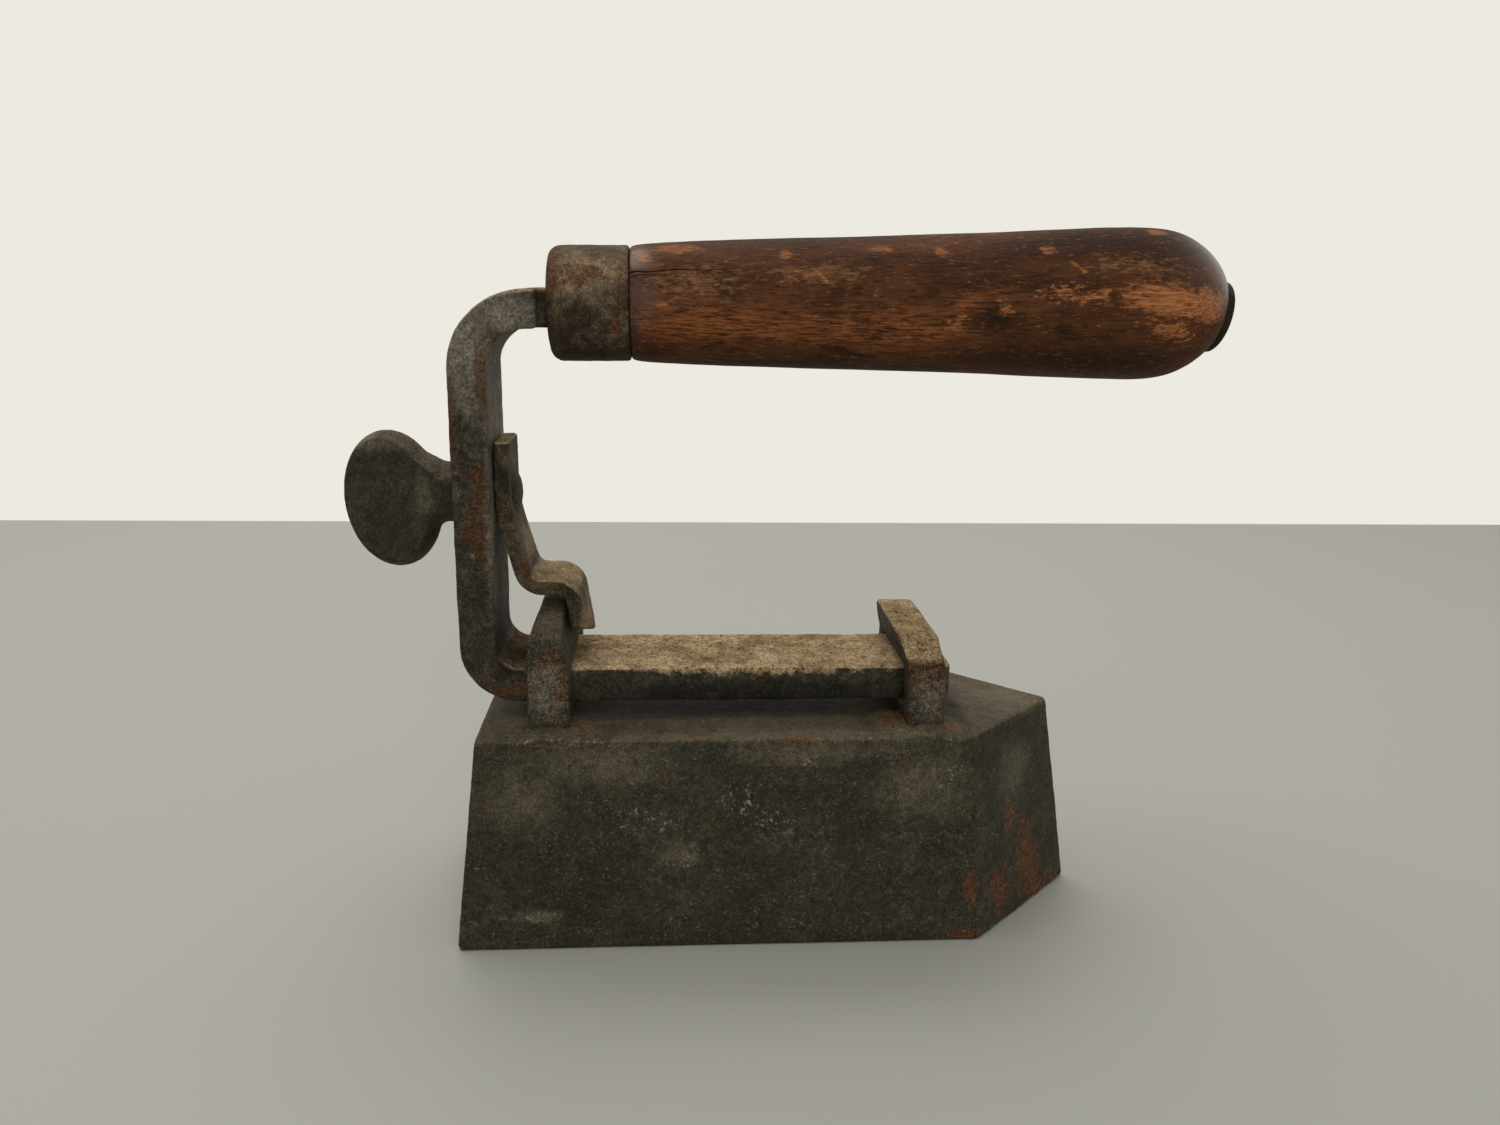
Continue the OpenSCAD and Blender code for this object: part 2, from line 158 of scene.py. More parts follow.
# %% [markdown]
# ## Modelling helpers
# Every piece below is made by the same few moves: add a primitive, select faces or edges by where they
# are, run an edit operator on them, and apply modifiers at the end. These helpers keep those moves short.
# Sizes are written in millimetres, as on a drawing, and turned into Blender's metres by mm().

# %% Helpers for adding, selecting and shaping
def mm(*values):
    return tuple(v * 0.001 for v in values)


def only(piece):
    bpy.ops.object.select_all(action="DESELECT")
    piece.select_set(True)
    bpy.context.view_layer.objects.active = piece


def settle(name):
    """Name the primitive that was just added and put its place into its mesh."""
    bpy.ops.object.transform_apply(location=True, rotation=True, scale=True)
    made = bpy.context.object
    made.name = name
    return made


def cube(name, low, high):
    """A box between two corners, in millimetres."""
    bpy.ops.object.select_all(action="DESELECT")
    middle = [(a + b) / 2 for a, b in zip(low, high)]
    sides = [b - a for a, b in zip(low, high)]
    bpy.ops.mesh.primitive_cube_add(size=1, location=mm(*middle), scale=mm(*sides))
    return settle(name)


def rod(name, start, end, radius, sides=64):
    """A cylinder between two points of the XZ plane, in millimetres."""
    bpy.ops.object.select_all(action="DESELECT")
    way = Vector((end[0] - start[0], 0, end[1] - start[1]))
    middle = ((start[0] + end[0]) / 2, 0, (start[1] + end[1]) / 2)
    bpy.ops.mesh.primitive_cylinder_add(
        vertices=sides, radius=radius * 0.001, depth=way.length * 0.001, location=mm(*middle),
        rotation=Vector((0, 0, 1)).rotation_difference(way).to_euler(),
    )
    return settle(name)


def edit(piece, kind="FACE"):
    only(piece)
    bpy.ops.object.mode_set(mode="EDIT")
    bpy.ops.mesh.select_mode(type=kind)


def done():
    bpy.ops.object.mode_set(mode="OBJECT")


def pick(piece, test, kind="FACE"):
    """Select what passes test(middle in mm, direction): a face's normal or an edge's own direction."""
    bpy.ops.mesh.select_mode(type=kind)
    bpy.ops.mesh.select_all(action="DESELECT")
    shape = bmesh.from_edit_mesh(piece.data)
    if kind == "FACE":
        found = [f for f in shape.faces if test(f.calc_center_median() * 1000, f.normal)]
    elif kind == "EDGE":
        found = []
        for e in shape.edges:
            a, b = (v.co * 1000 for v in e.verts)
            if test((a + b) / 2, (b - a).normalized()):
                found.append(e)
    else:
        found = [v for v in shape.verts if test(v.co * 1000, v.normal)]
    for item in found:
        item.select_set(True)
    bmesh.update_edit_mesh(piece.data)


def slice_off(point, outward):
    """Cut the piece in edit mode with a plane, throw the outer side away and close the cut."""
    bpy.ops.mesh.select_all(action="SELECT")
    outward = Vector(outward).normalized()
    bpy.ops.mesh.bisect(plane_co=mm(*point), plane_no=outward, use_fill=True, clear_outer=True)


def bevel(width, steps):
    """Bevel the selected edges. The width is in millimetres."""
    bpy.ops.mesh.bevel(offset=width * 0.001, segments=steps, affect="EDGES")


def draw_out(step):
    """Extrude the selected faces by a step in metres."""
    bpy.ops.mesh.extrude_region_move(TRANSFORM_OT_translate={"value": step})


print("Shaping helpers ready")

# %% [markdown]
# Forged and cast iron is never quite even. For such a skin, a shape is remeshed into a net of small
# faces, smoothed a little, and pushed in and out by a cloudy texture: wide hammer marks first, then fine
# scale.

# %% Helpers for finishing
def modify(piece, kind, **settings):
    only(piece)
    bpy.ops.object.modifier_add(type=kind)
    modifier = piece.modifiers[-1]
    for name, value in settings.items():
        setattr(modifier, name, value)
    bpy.ops.object.modifier_apply(modifier=modifier.name)


def cut(piece, tool):
    modify(piece, "BOOLEAN", operation="DIFFERENCE", object=tool, solver="EXACT")
    bpy.data.objects.remove(tool)


def weld(piece, *others):
    """Join other objects into the piece."""
    only(piece)
    for other in others:
        other.select_set(True)
    bpy.ops.object.join()


def round_edges(piece, width, steps=3, angle=35):
    modify(
        piece, "BEVEL", width=width * 0.001, segments=steps, limit_method="ANGLE",
        angle_limit=math.radians(angle),
    )


def cast_skin(piece, grid, passes):
    """Give the piece an even net of small faces, and let its edges settle a little."""
    modify(piece, "REMESH", mode="VOXEL", voxel_size=grid * 0.001)
    modify(piece, "SMOOTH", factor=0.5, iterations=passes)


def roughen(piece, name, size, depth, layers=2, middle=0.5):
    """Press hollows and raise bumps of about the given size. A middle of 1 presses only inwards."""
    texture = bpy.data.textures.new(name, type="CLOUDS")
    texture.noise_scale = size * 0.001
    texture.noise_depth = layers
    texture.noise_basis = "IMPROVED_PERLIN"
    modify(
        piece, "DISPLACE", texture=texture, texture_coords="LOCAL", strength=depth * 0.001,
        mid_level=middle,
    )


def hammered(piece, name, grid, passes, dents, scale):
    """The skin of forged iron. Dents and scale are each given by size and depth."""
    cast_skin(piece, grid, passes)
    roughen(piece, name + "_hammering", *dents, layers=1)
    roughen(piece, name + "_scale", *scale)


def tidy_normals(piece):
    edit(piece)
    bpy.ops.mesh.select_all(action="SELECT")
    bpy.ops.mesh.remove_doubles(threshold=1e-6)
    bpy.ops.mesh.normals_make_consistent(inside=False)
    done()


def box_mm(piece):
    """The piece's lowest and highest corner, as six rounded numbers in millimetres."""
    sides = [[corner[axis] * 1000 for corner in piece.bound_box] for axis in range(3)]
    return [round(min(side), 1) for side in sides] + [round(max(side), 1) for side in sides]


def hand_over(piece, node, body, material, angle=180):
    """Paint the finished piece, let it stand for its measured node and ride on its body."""
    only(piece)
    piece.data.materials.clear()
    piece.data.materials.append(material)
    bpy.ops.object.shade_smooth_by_angle(angle=math.radians(angle))
    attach(piece, body)
    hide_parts(node)
    low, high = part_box(node)
    measured = [round(v * 1000, 1) for v in (*low, *high)]
    print(piece.name, "faces:", len(piece.data.polygons))
    print("  box in mm:", box_mm(piece), "measured:", measured)


print("Finishing helpers ready")

# %% [markdown]
# ## Helpers for materials
# All colours are worked out by the shader from the place on the piece, so that nothing has to be
# unwrapped and a piece looks the same in every pose. Object coordinates are used, because every piece
# keeps its origin at the iron's own origin: a spot at a known place in millimetres can then be painted by
# a soft ellipsoid.

# %% A small kit for shader nodes
class Paint:
    """A material, with short ways to add the nodes that this lesson uses. Sizes are in millimetres."""

    def __init__(self, name):
        self.material = bpy.data.materials.new(name)
        self.material.use_nodes = True
        self.tree = self.material.node_tree
        self.shader = self.tree.nodes["Principled BSDF"]
        self.where = self.node("TexCoord")
        self.shape = self.node("NewGeometry")

    def node(self, kind, inputs=None, **settings):
        made = self.tree.nodes.new("ShaderNode" + kind)
        for name, value in settings.items():
            setattr(made, name, value)
        for socket, value in (inputs or {}).items():
            self.feed(made.inputs[socket], value)
        return made

    def feed(self, socket, value):
        if isinstance(value, bpy.types.NodeSocket):
            self.tree.links.new(value, socket)
        elif socket.type == "RGBA":
            socket.default_value = (*value, 1)
        else:
            socket.default_value = value

    def set(self, **inputs):
        for name, value in inputs.items():
            self.feed(self.shader.inputs[name.replace("_", " ")], value)

    def place(self, middle=(0, 0, 0), radii=(1, 1, 1), tilt=(0, 0, 0)):
        """Object coordinates seen from a middle, in units of the radii."""
        return self.node(
            "Mapping",
            {
                "Vector": self.where.outputs["Object"], "Location": mm(*middle), "Scale": mm(*radii),
                "Rotation": tilt,
            },
            vector_type="TEXTURE",
        ).outputs["Vector"]

    def noise(self, size, detail=4.0, rough=0.6, warp=0.0, shift=0.0, tilt=(0, 0, 0)):
        """Cloudy noise from 0 to 1. Size is one number, or one for each axis."""
        sizes = size if isinstance(size, tuple) else (size, size, size)
        vector = self.place((shift, shift * 1.7, shift * 0.6), sizes, tilt)
        return self.node(
            "TexNoise",
            {"Vector": vector, "Scale": 1.0, "Detail": detail, "Roughness": rough, "Distortion": warp},
        ).outputs["Fac"]

    def between(self, value, low, high, to_low=0.0, to_high=1.0):
        """A soft step from to_low to to_high while the value goes from low to high."""
        return self.node(
            "MapRange",
            {"Value": value, "From Min": low, "From Max": high, "To Min": to_low, "To Max": to_high},
            interpolation_type="SMOOTHSTEP",
        ).outputs["Result"]

    def math(self, operation, a, b=0.0):
        return self.node("Math", {0: a, 1: b}, operation=operation).outputs[0]

    def times(self, a, b):
        return self.math("MULTIPLY", a, b)

    def most(self, a, b):
        return self.math("MAXIMUM", a, b)

    def spot(self, middle, radii, tilt=(0, 0, 0), soft=0.5):
        """1 inside an ellipsoid, fading to 0 at its surface."""
        reach = self.node(
            "VectorMath", {0: self.place(middle, radii, tilt)}, operation="LENGTH"
        ).outputs["Value"]
        return self.between(reach, 1.0, 1.0 - soft)

    def spots(self, places, soft=0.5):
        """The union of several spots."""
        total = self.spot(*places[0], soft=soft)
        for place in places[1:]:
            total = self.most(total, self.spot(*place, soft=soft))
        return total

    def mix(self, factor, a, b, way="MIX"):
        made = self.node("Mix", {0: factor, 6: a, 7: b}, data_type="RGBA", blend_type=way)
        return made.outputs[2]

    def shade(self, colour, amount):
        """Make a colour darker or lighter by a factor that changes over the surface."""
        return self.mix(1.0, colour, amount, "MULTIPLY")

    def torn(self, mask, noise, amount=1.4, sharp=0.12):
        """A soft mask, cut off along a line that the noise makes ragged."""
        inputs = {0: noise, 1: amount, 2: mask}
        ragged = self.node("Math", inputs, operation="MULTIPLY_ADD").outputs[0]
        level = 0.5 + amount / 2
        return self.between(ragged, level - sharp, level + sharp)

    def facing_up(self):
        """The upward part of the surface's direction. Object normals turn with the piece."""
        return self.node("SeparateXYZ", {0: self.where.outputs["Normal"]}).outputs["Z"]

    def bump(self, height, depth, strength=1.0, after=None):
        inputs = {"Height": height, "Distance": depth * 0.001, "Strength": strength}
        if after is not None:
            inputs["Normal"] = after
        return self.node("Bump", inputs).outputs["Normal"]


print("Shader kit ready")

# %% [markdown]
# ## Old iron
# The iron pieces all share one recipe. Its real layers come in the order in which time laid them on: dark
# mill scale, soft brown stains, rust in patches, a fine grain, tan dust on the upper faces, rubbed edges,
# and last a few pale specks and scratches. Painted shade is laid in under parts and in corners, and painted
# glints among the specks. On the bar, the latch and the thumb piece the brown stains also paint a sheen and
# lit faces. The edges are found by Pointiness, which says how sharply the surface turns. The surface stays
# almost matt, because scale and rust scatter light, so the specular level is low.

# %% Mix the old iron
SCRATCH_WAYS = ((0.55, 13), (-0.35, 47), (-1.0, 86))
RUST_DARK, RUST_LIGHT = (0.050, 0.023, 0.011), (0.170, 0.068, 0.027)
RUBBED_IRON, RUBBED_RUST = (0.23, 0.19, 0.135), (0.195, 0.112, 0.058)
DUST_BROWN, DUST_TAN = (0.20, 0.125, 0.055), (0.73, 0.535, 0.305)
DUST_RUST, DUST_PIT = (0.27, 0.135, 0.058), (0.050, 0.028, 0.014)
HOLLOW_BLACK, PALE_FLECK_AND_GLINT = (0.010, 0.009, 0.006), (0.40, 0.36, 0.28)
WARM_GLEAM = (1.0, 0.90, 0.74)
PAINTED_SHADE_DEPTH = 0.3


def old_iron(
    name, dark, brown, blotch=14, rust=0.3, dust=0.6, wear=0.5, edge=RUBBED_RUST, glints=0.5, scratches=0.0,
    relief=1.0, mottling=0.22, grit=0.6, crust=0.6, shine=0.07, film_and_sheen_spots=None, rust_spots=None,
    painted_shade_spots=None, dust_spots=None, clean_spots=None, pale_spots=None,
):
    """Most amounts run from 0 to 1. A list of spots says where a layer lies, by middle and radii in mm."""
    paint = Paint(name)
    noise, between, mix, spots, torn = paint.noise, paint.between, paint.mix, paint.spots, paint.torn
    times, most, shade = paint.times, paint.most, paint.shade

    cloud = noise(2.4, 6, 0.74, 0.5, shift=70)
    mottle = between(cloud, 0.37, 0.61)
    stains = times(between(noise(blotch, 3, 0.55, 0.4), 0.34, 0.66), mottle)
    # Film spots lay a brown film. On the bar, the latch and the thumb piece they also paint sheen and lit
    # faces.
    if film_and_sheen_spots:
        broad = noise(7, 6, 0.68, 0.4, shift=41)
        film_and_sheen = torn(spots(film_and_sheen_spots, 1.0), broad, 2.0, 0.7)
        stains = most(times(stains, 0.35), times(film_and_sheen, between(mottle, 0.0, 1.0, 0.7, 1.0)))
    colour = mix(stains, dark, brown)

    flakes = noise(0.8, 4, 0.7, shift=77)
    rust_colour = mix(between(flakes, 0.36, 0.62), RUST_DARK, RUST_LIGHT)
    scatter = noise(3.4, 8, 0.76, 0.3, shift=57)
    patches = between(scatter, 0.66 - 0.14 * rust, 0.74 - 0.12 * rust)
    patches = times(patches, 0.4 + 0.4 * rust)
    if rust_spots:
        scabs = noise(3.6, 8, 0.78, 0.4, shift=12)
        patches = most(patches, times(torn(spots(rust_spots, 1.0), scabs, 4.5, 0.2), crust))
    colour = mix(patches, colour, rust_colour)

    grain = noise(0.42, 3, 0.68, shift=31)
    coarse = noise(1.3, 4, 0.7, shift=15)
    colour = shade(colour, between(grain, 0.32, 0.68, 1 - 0.65 * grit, 1 + 0.75 * grit))
    colour = shade(colour, between(coarse, 0.36, 0.64, 1 - mottling, 1 + mottling))

    laid = times(torn(paint.facing_up(), cloud, 0.9, 0.22), dust)
    if dust_spots:
        laid = most(laid, times(torn(spots(dust_spots, 1.0), cloud, 2.6, 0.2), 0.8 * dust))
    laid = times(laid, between(coarse, 0.28, 0.40))
    if clean_spots:
        laid = times(laid, between(spots(clean_spots, 0.6), 0.0, 1.0, 1.0, 0.35))
    drift = between(noise(7, 8, 0.72, 0.4, shift=23), 0.22, 0.66)
    dust_colour = mix(drift, DUST_BROWN, DUST_TAN)
    rusty = between(noise(4.5, 7, 0.75, 0.4, shift=83), 0.50, 0.64)
    dust_colour = mix(times(rusty, 0.7), dust_colour, DUST_RUST)
    dust_colour = shade(dust_colour, between(flakes, 0.30, 0.60, 0.70, 1.12))
    dust_colour = shade(dust_colour, between(grain, 0.30, 0.66, 0.55, 1.30))
    holes = between(noise(0.9, 4, 0.7, shift=37), 0.55, 0.63)
    dust_colour = mix(times(holes, 0.85), dust_colour, DUST_PIT)
    colour = mix(laid, colour, dust_colour)
    # Painted shade: spots where the colour is darkened towards black, under parts and in corners.
    if painted_shade_spots:
        painted_shade = times(spots(painted_shade_spots, soft=0.7), between(mottle, 0.0, 0.5, 0.5, 0.75))
        colour = mix(painted_shade, colour, tuple(c * PAINTED_SHADE_DEPTH for c in dark))

    bend = paint.shape.outputs["Pointiness"]
    uneven = between(noise(4, 6, 0.75, shift=5), 0.38, 0.56)
    rubbed = times(between(bend, 0.535, 0.60), uneven)
    colour = mix(times(rubbed, wear), colour, edge)
    colour = mix(between(bend, 0.475, 0.40, 0.0, 0.75), colour, HOLLOW_BLACK)

    # Painted glints: pale flecks on the grain stand in for specular sparkle. Scratches and chips add real
    # pale marks.
    bright = times(between(noise(0.6, 4, 0.7, shift=91), 0.58, 0.68), glints)
    bright = times(bright, between(noise(7, 4, 0.65, shift=64), 0.36, 0.62, 0.25, 1.0))
    for tilt, shift in SCRATCH_WAYS if scratches else ():
        line = noise((2.4, 2.4, 0.18), 2, 0.5, shift=shift, tilt=(0, tilt, 0))
        bright = most(bright, times(between(line, 0.71, 0.77), scratches))
    if pale_spots:
        chips = between(noise(0.9, 4, 0.7, shift=44), 0.58, 0.64)
        bright = most(bright, times(chips, spots(pale_spots, 0.9)))
    colour = mix(bright, colour, PALE_FLECK_AND_GLINT)

    fine = paint.bump(grain, 0.22 * relief, 1.0)
    scaly = paint.bump(noise(1.8, 6, 0.72, shift=9), 0.9 * relief, 1.0, fine)
    paint.set(Base_Color=colour, Normal=scaly, Specular_IOR_Level=shine, Specular_Tint=WARM_GLEAM)
    paint.set(Roughness=most(between(grain, 0.35, 0.65, 0.44, 0.66), times(laid, 0.95)))
    return paint.material


print("The recipe for old iron is ready")

# %% [markdown]
# ### Amounts and places for each iron piece
# No two pieces aged alike. The block's rust sits mostly at the nose, and the tongue holds dust. The ferrule
# gets painted shade below, and so do the block under the tongue and the bar on its tongue and inner bend.
# Each piece gets its own two colours and amounts, and the marks that stand out are given a place. An
# ellipsoid with a middle and three radii is enough for that, because noise tears its outline.

# %% Choose the amounts for each iron piece
BLOCK_RUST = [
    ((58, -11, 12), (10, 10, 16)), ((51.8, -15.7, 24), (4, 5, 10)), ((49, -20, 8), (8, 8, 9)),
    ((62, -8, 2), (16, 12, 4.5)), ((40.5, -26.7, 12), (3.5, 3, 11)), ((41, -27.5, 1.5), (10, 3, 2.4)),
    ((71, 0, 6), (4, 5, 10)), ((24, -14.5, 48), (8, 6, 3)), ((-45, -17, 48), (8, 6, 3)),
    ((36, -19, 48), (5, 5, 3)), ((24, 16, 48), (9, 6, 3)), ((-52, 17, 48), (12, 6, 3)),
    ((2, -23, 46.5), (7, 2, 1.6)),
]
BLOCK_FILM = [
    ((28, -24.9, 37), (18, 5, 14)), ((-42, -24.4, 42), (30, 5, 9)), ((-24, -26, 21), (9, 4, 5)),
    ((-58, -25.4, 36), (14, 5, 12)), ((-54, -27.3, 7.7), (10, 3, 2.6)), ((4, -24.2, 44), (26, 4, 5)),
    ((53, -13, 34), (13, 11, 13)), ((54, 0, 47), (18, 24, 3)), ((-64, 0, 47), (9, 24, 3)),
    ((0, -21, 47), (60, 6, 3)), ((-8, -14, 47), (46, 9, 3)),
]
# Pale chips. The two long spots along the top near edge make a pale line that is partly a painted highlight.
BLOCK_CHALK = [
    ((3.5, -24.2, 40.7), (3.6, 3, 3.4)), ((34.9, -24.5, 37.4), (4.4, 3, 4.4)),
    ((-23.7, -26.1, 20), (6, 3, 3.4)), ((-54, -27.3, 7.7), (12, 3, 1.8)), ((-31, -25.3, 29.3), (11, 3, 5)),
    ((32.6, -22.6, 46.8), (5, 3, 1.8)), ((-10.8, -24.9, 33.5), (7, 3, 6)), ((-50, -23.6, 47), (22, 2, 1.4)),
    ((-4, -25.4, 28), (8, 3, 5)), ((24, -23.6, 47), (20, 2, 1.4)),
]
CAST_IRON = old_iron(
    "cast_block_iron", dark=(0.0325, 0.0318, 0.0208), brown=(0.125, 0.104, 0.068), blotch=16, rust=-0.3,
    dust=0.12, wear=0.7, edge=RUBBED_IRON, glints=0.45, scratches=0.7, relief=0.6, grit=0.55, crust=0.85,
    shine=0.10, rust_spots=BLOCK_RUST, film_and_sheen_spots=BLOCK_FILM, pale_spots=BLOCK_CHALK,
    # Painted shadow on the block top under the tongue, along its length and beside its tip.
    painted_shade_spots=[((38, -8, 47.5), (4.5, 13, 2.5)), ((-8, -4, 47), (44, 7, 2.0))],
)
REAR_EYE_IRON = old_iron(
    "rear_eye_iron", dark=(0.034, 0.0325, 0.0230), brown=(0.185, 0.155, 0.108), blotch=9, rust=0.6,
    dust=0.12, wear=0.7, glints=0.8, grit=0.95, mottling=0.3,
    film_and_sheen_spots=[((-52, -20, 58), (9, 8, 13)), ((-51, -8, 70), (6, 14, 3))],
    rust_spots=[((-51, -19, 64), (6, 6, 5)), ((-49, -20, 57), (4, 4, 5))],
)
FRONT_EYE_IRON = old_iron(
    "front_eye_iron", dark=(0.034, 0.0330, 0.0245), brown=(0.165, 0.138, 0.096), blotch=9, rust=0.5,
    dust=1.0, wear=0.6, glints=0.7, grit=0.95, mottling=0.3, film_and_sheen_spots=[((31, -20, 56), (8, 6, 12))],
    rust_spots=[((30, -19, 60), (8, 5, 7)), ((26, -19, 48), (3, 5, 6)), ((28, -2, 67.5), (5, 14, 2))],
)
BAR_IRON = old_iron(
    "forged_bar_iron", dark=(0.041, 0.0372, 0.0264), brown=(0.285, 0.247, 0.182), blotch=11, rust=0.5,
    dust=1.0, wear=0.6, glints=0.25, shine=0.05,
    # Painted sheen: the first two spots paint the grey sheen on the near face of the top bend. The third lays
    # brown film on the upright's front face and paints that face lighter, as lit. The brown is that film's
    # and sheen's colour.
    film_and_sheen_spots=[
        ((-60, -12, 135), (18, 6, 8)), ((-68, -12, 127), (9, 6, 20)), ((-63.2, 0, 96), (2.6, 40, 46)),
    ],
    rust_spots=[
        ((-64, -12, 122), (3, 3, 14)), ((-56, -12, 130.5), (8, 3, 2.4)), ((-62, -12, 54), (10, 3, 5)),
        ((-66, -12, 92), (5, 3, 20)), ((-70.8, -12, 112), (1.6, 3, 22)),
    ],
    # Painted shade on the tongue's near side and inside the lower bend, below the latch.
    painted_shade_spots=[((-8, -13, 53), (52, 5, 5.2)), ((-60, 0, 60.5), (6.5, 30, 6))],
    dust_spots=[((-8, -12.2, 59.6), (50, 2, 3.6))], clean_spots=[((-64, 0, 136), (27, 20, 16))],
)
LATCH_IRON = old_iron(
    "latch_iron", dark=(0.033, 0.0300, 0.0205), brown=(0.410, 0.280, 0.146), blotch=8, rust=0.5, dust=0.7,
    wear=0.6, glints=0.3, shine=0.04,
    # Brown film on the hook's front face and on the face above the shelf, also painting both lighter, as lit.
    film_and_sheen_spots=[((-43, 0, 69), (4.5, 30, 14)), ((-57, 3, 88), (2.6, 24, 12))],
    rust_spots=[((-56, -8, 80), (5, 4, 6)), ((-45, 0, 64), (4, 12, 4))],
)
THUMB_IRON = old_iron(
    "thumb_iron", dark=(0.040, 0.0375, 0.0265), brown=(0.165, 0.136, 0.094), blotch=9, dust=0.14, wear=0.3,
    glints=0.1, scratches=0.15, shine=0.10,
    # Painted highlights on the ridge where the flat meets the neck and on the bulb's top rim.
    film_and_sheen_spots=[((-79, -6, 97), (4, 5, 8)), ((-90, -3, 107), (9, 6, 3))],
)
FERRULE_IRON = old_iron(
    "ferrule_iron", dark=(0.038, 0.030, 0.0205), brown=(0.385, 0.268, 0.158), blotch=8, rust=0.5, dust=0.1,
    wear=0.4, glints=0.15, crust=0.8, shine=0.05, film_and_sheen_spots=[((-43, -9, 142), (14, 9, 9))],
    rust_spots=[((-44, -10, 143), (9, 6, 4)), ((-37, -11, 134), (2, 4, 8)), ((-50, -8, 143), (4, 9, 8))],
    # Painted shade on the underside of the ferrule.
    painted_shade_spots=[((-43, -4, 122.5), (18, 20, 11))],
)
WASHER_IRON = old_iron(
    "washer_iron", dark=(0.028, 0.0235, 0.0175), brown=(0.075, 0.053, 0.033), rust=0.35, dust=0.05, glints=0.2
)
print("Iron materials:", [m.name for m in bpy.data.materials if m.name.endswith("iron")])

# %% [markdown]
# ## The iron block
# The block is a plain sand casting: flat at the back, pointed at the nose, with every wall leaning in so
# that it could be drawn out of the mould. It could be built from five points and extruded, but a box that
# is sliced by one leaning plane per wall gives the same leans as the drawing. The upright edges get a
# wider bevel than the rims, because they were rubbed most.

# %% Slice the block out of a box and break its edges
SOLE_L, SOLE_W, BLOCK_H, NOSE_L = 144, 56, 47, 29
BACK_LEAN, SIDE_LEAN, NOSE_LEAN = 4.7, 4.4, 5.6
NOSE_ROUND, CORNER_ROUND, TOP_ROUND, SOLE_ROUND = 1.7, 0.9, 0.6, 0.5
NOSE_START = SOLE_L / 2 - 10

block = cube("cast_block", (-SOLE_L / 2, -SOLE_W / 2, 0), (SOLE_L / 2, SOLE_W / 2, BLOCK_H))
nose_out = Vector((SOLE_W / 2, NOSE_L)).normalized()
edit(block)
slice_off((-SOLE_L / 2, 0, 0), (-BLOCK_H, 0, BACK_LEAN))
for side in (-1, 1):
    slice_off((0, side * SOLE_W / 2, 0), (0, side * BLOCK_H, SIDE_LEAN))
    slice_off((SOLE_L / 2, 0, 0), (nose_out.x * BLOCK_H, side * nose_out.y * BLOCK_H, NOSE_LEAN))
pick(block, lambda middle, way: abs(way.z) > 0.8 and middle.x > NOSE_START, "EDGE")
bevel(NOSE_ROUND, 5)
pick(block, lambda middle, way: abs(way.z) > 0.8 and middle.x < NOSE_START, "EDGE")
bevel(CORNER_ROUND, 3)
pick(block, lambda middle, way: middle.z > BLOCK_H - 0.01, "EDGE")
bevel(TOP_ROUND, 3)
pick(block, lambda middle, way: middle.z < 0.01, "EDGE")
bevel(SOLE_ROUND, 2)
done()
print("Block faces after the bevels:", len(block.data.polygons))

# %% [markdown]
# Scale and rust have built up where the eyes enter the block. Flattened balls are sunk into the top
# around each leg, and the remesh then melts them into the casting like fillets. Last come the hollows of
# a rough casting, wide and shallow ones first, and the sole is pressed flat again.

# %% Heap scale around the feet of the eyes and roughen the casting
SOLE_LIFT, SOLE_REACH = 0.03, 0.35
HEAPS = [
    (-51.5, -16.5, 10.5, 7.4, 2.4), (-46.0, -13.0, 6.0, 6.0, 1.5), (-58.0, -15.0, 6.0, 6.0, 1.2),
    (30.0, -16.5, 10.0, 7.4, 2.4), (24.0, -13.5, 6.0, 6.0, 2.0), (37.5, -13.0, 6.5, 8.0, 1.6),
    (-51.5, 16.5, 10.5, 7.4, 2.2), (30.0, 16.5, 10.0, 7.4, 2.2), (24.0, 13.5, 6.0, 6.0, 1.6),
    (43.0, -5.0, 9.0, 10.0, 1.2), (41.0, 6.0, 7.0, 8.0, 1.1),
]
heaps = []
for x, y, long, wide, high in HEAPS:
    bpy.ops.object.select_all(action="DESELECT")
    bpy.ops.mesh.primitive_ico_sphere_add(
        subdivisions=3, radius=1, location=mm(x, y, BLOCK_H - 0.4), scale=mm(long, wide, high)
    )
    heaps.append(settle("scale_heap"))
weld(block, *heaps)
cast_skin(block, grid=0.66, passes=1)
roughen(block, "casting_waves", size=24, depth=0.35, layers=1, middle=0.75)
roughen(block, "casting_hollows", size=5, depth=0.22, layers=3, middle=0.65)
roughen(block, "casting_grain", size=1.5, depth=0.16, middle=0.6)
edit(block)
pick(block, lambda co, normal: co.z < SOLE_REACH, "VERT")
bpy.ops.transform.resize(value=(1, 1, 0), center_override=mm(0, 0, SOLE_LIFT))
done()
hand_over(block, "iron_block", "base", CAST_IRON)

# %% [markdown]
# ## The two eyes
# Each eye was forged from a short thick bar: two legs, a window for the tongue and a crown over it. The
# rear crown is a low gable that the latch hooks over, and the front crown is flat, longer than its legs
# and leans back. A box is sliced to the outline seen along the tongue. The rear crown is then sliced to a
# taper, while a ring of edges at the top of the window lets the front crown be drawn out and pushed back.
# A second box cuts the window, and bevels round the edges.

# %% Forge the eyes
WINDOW_W, SILL_Z, WINDOW_TOP = 25.0, 51.0, 59.6
FOOT_Y, SHOULDER_Y, LEG_BOTTOM = 20.1, 18.9, 44.0


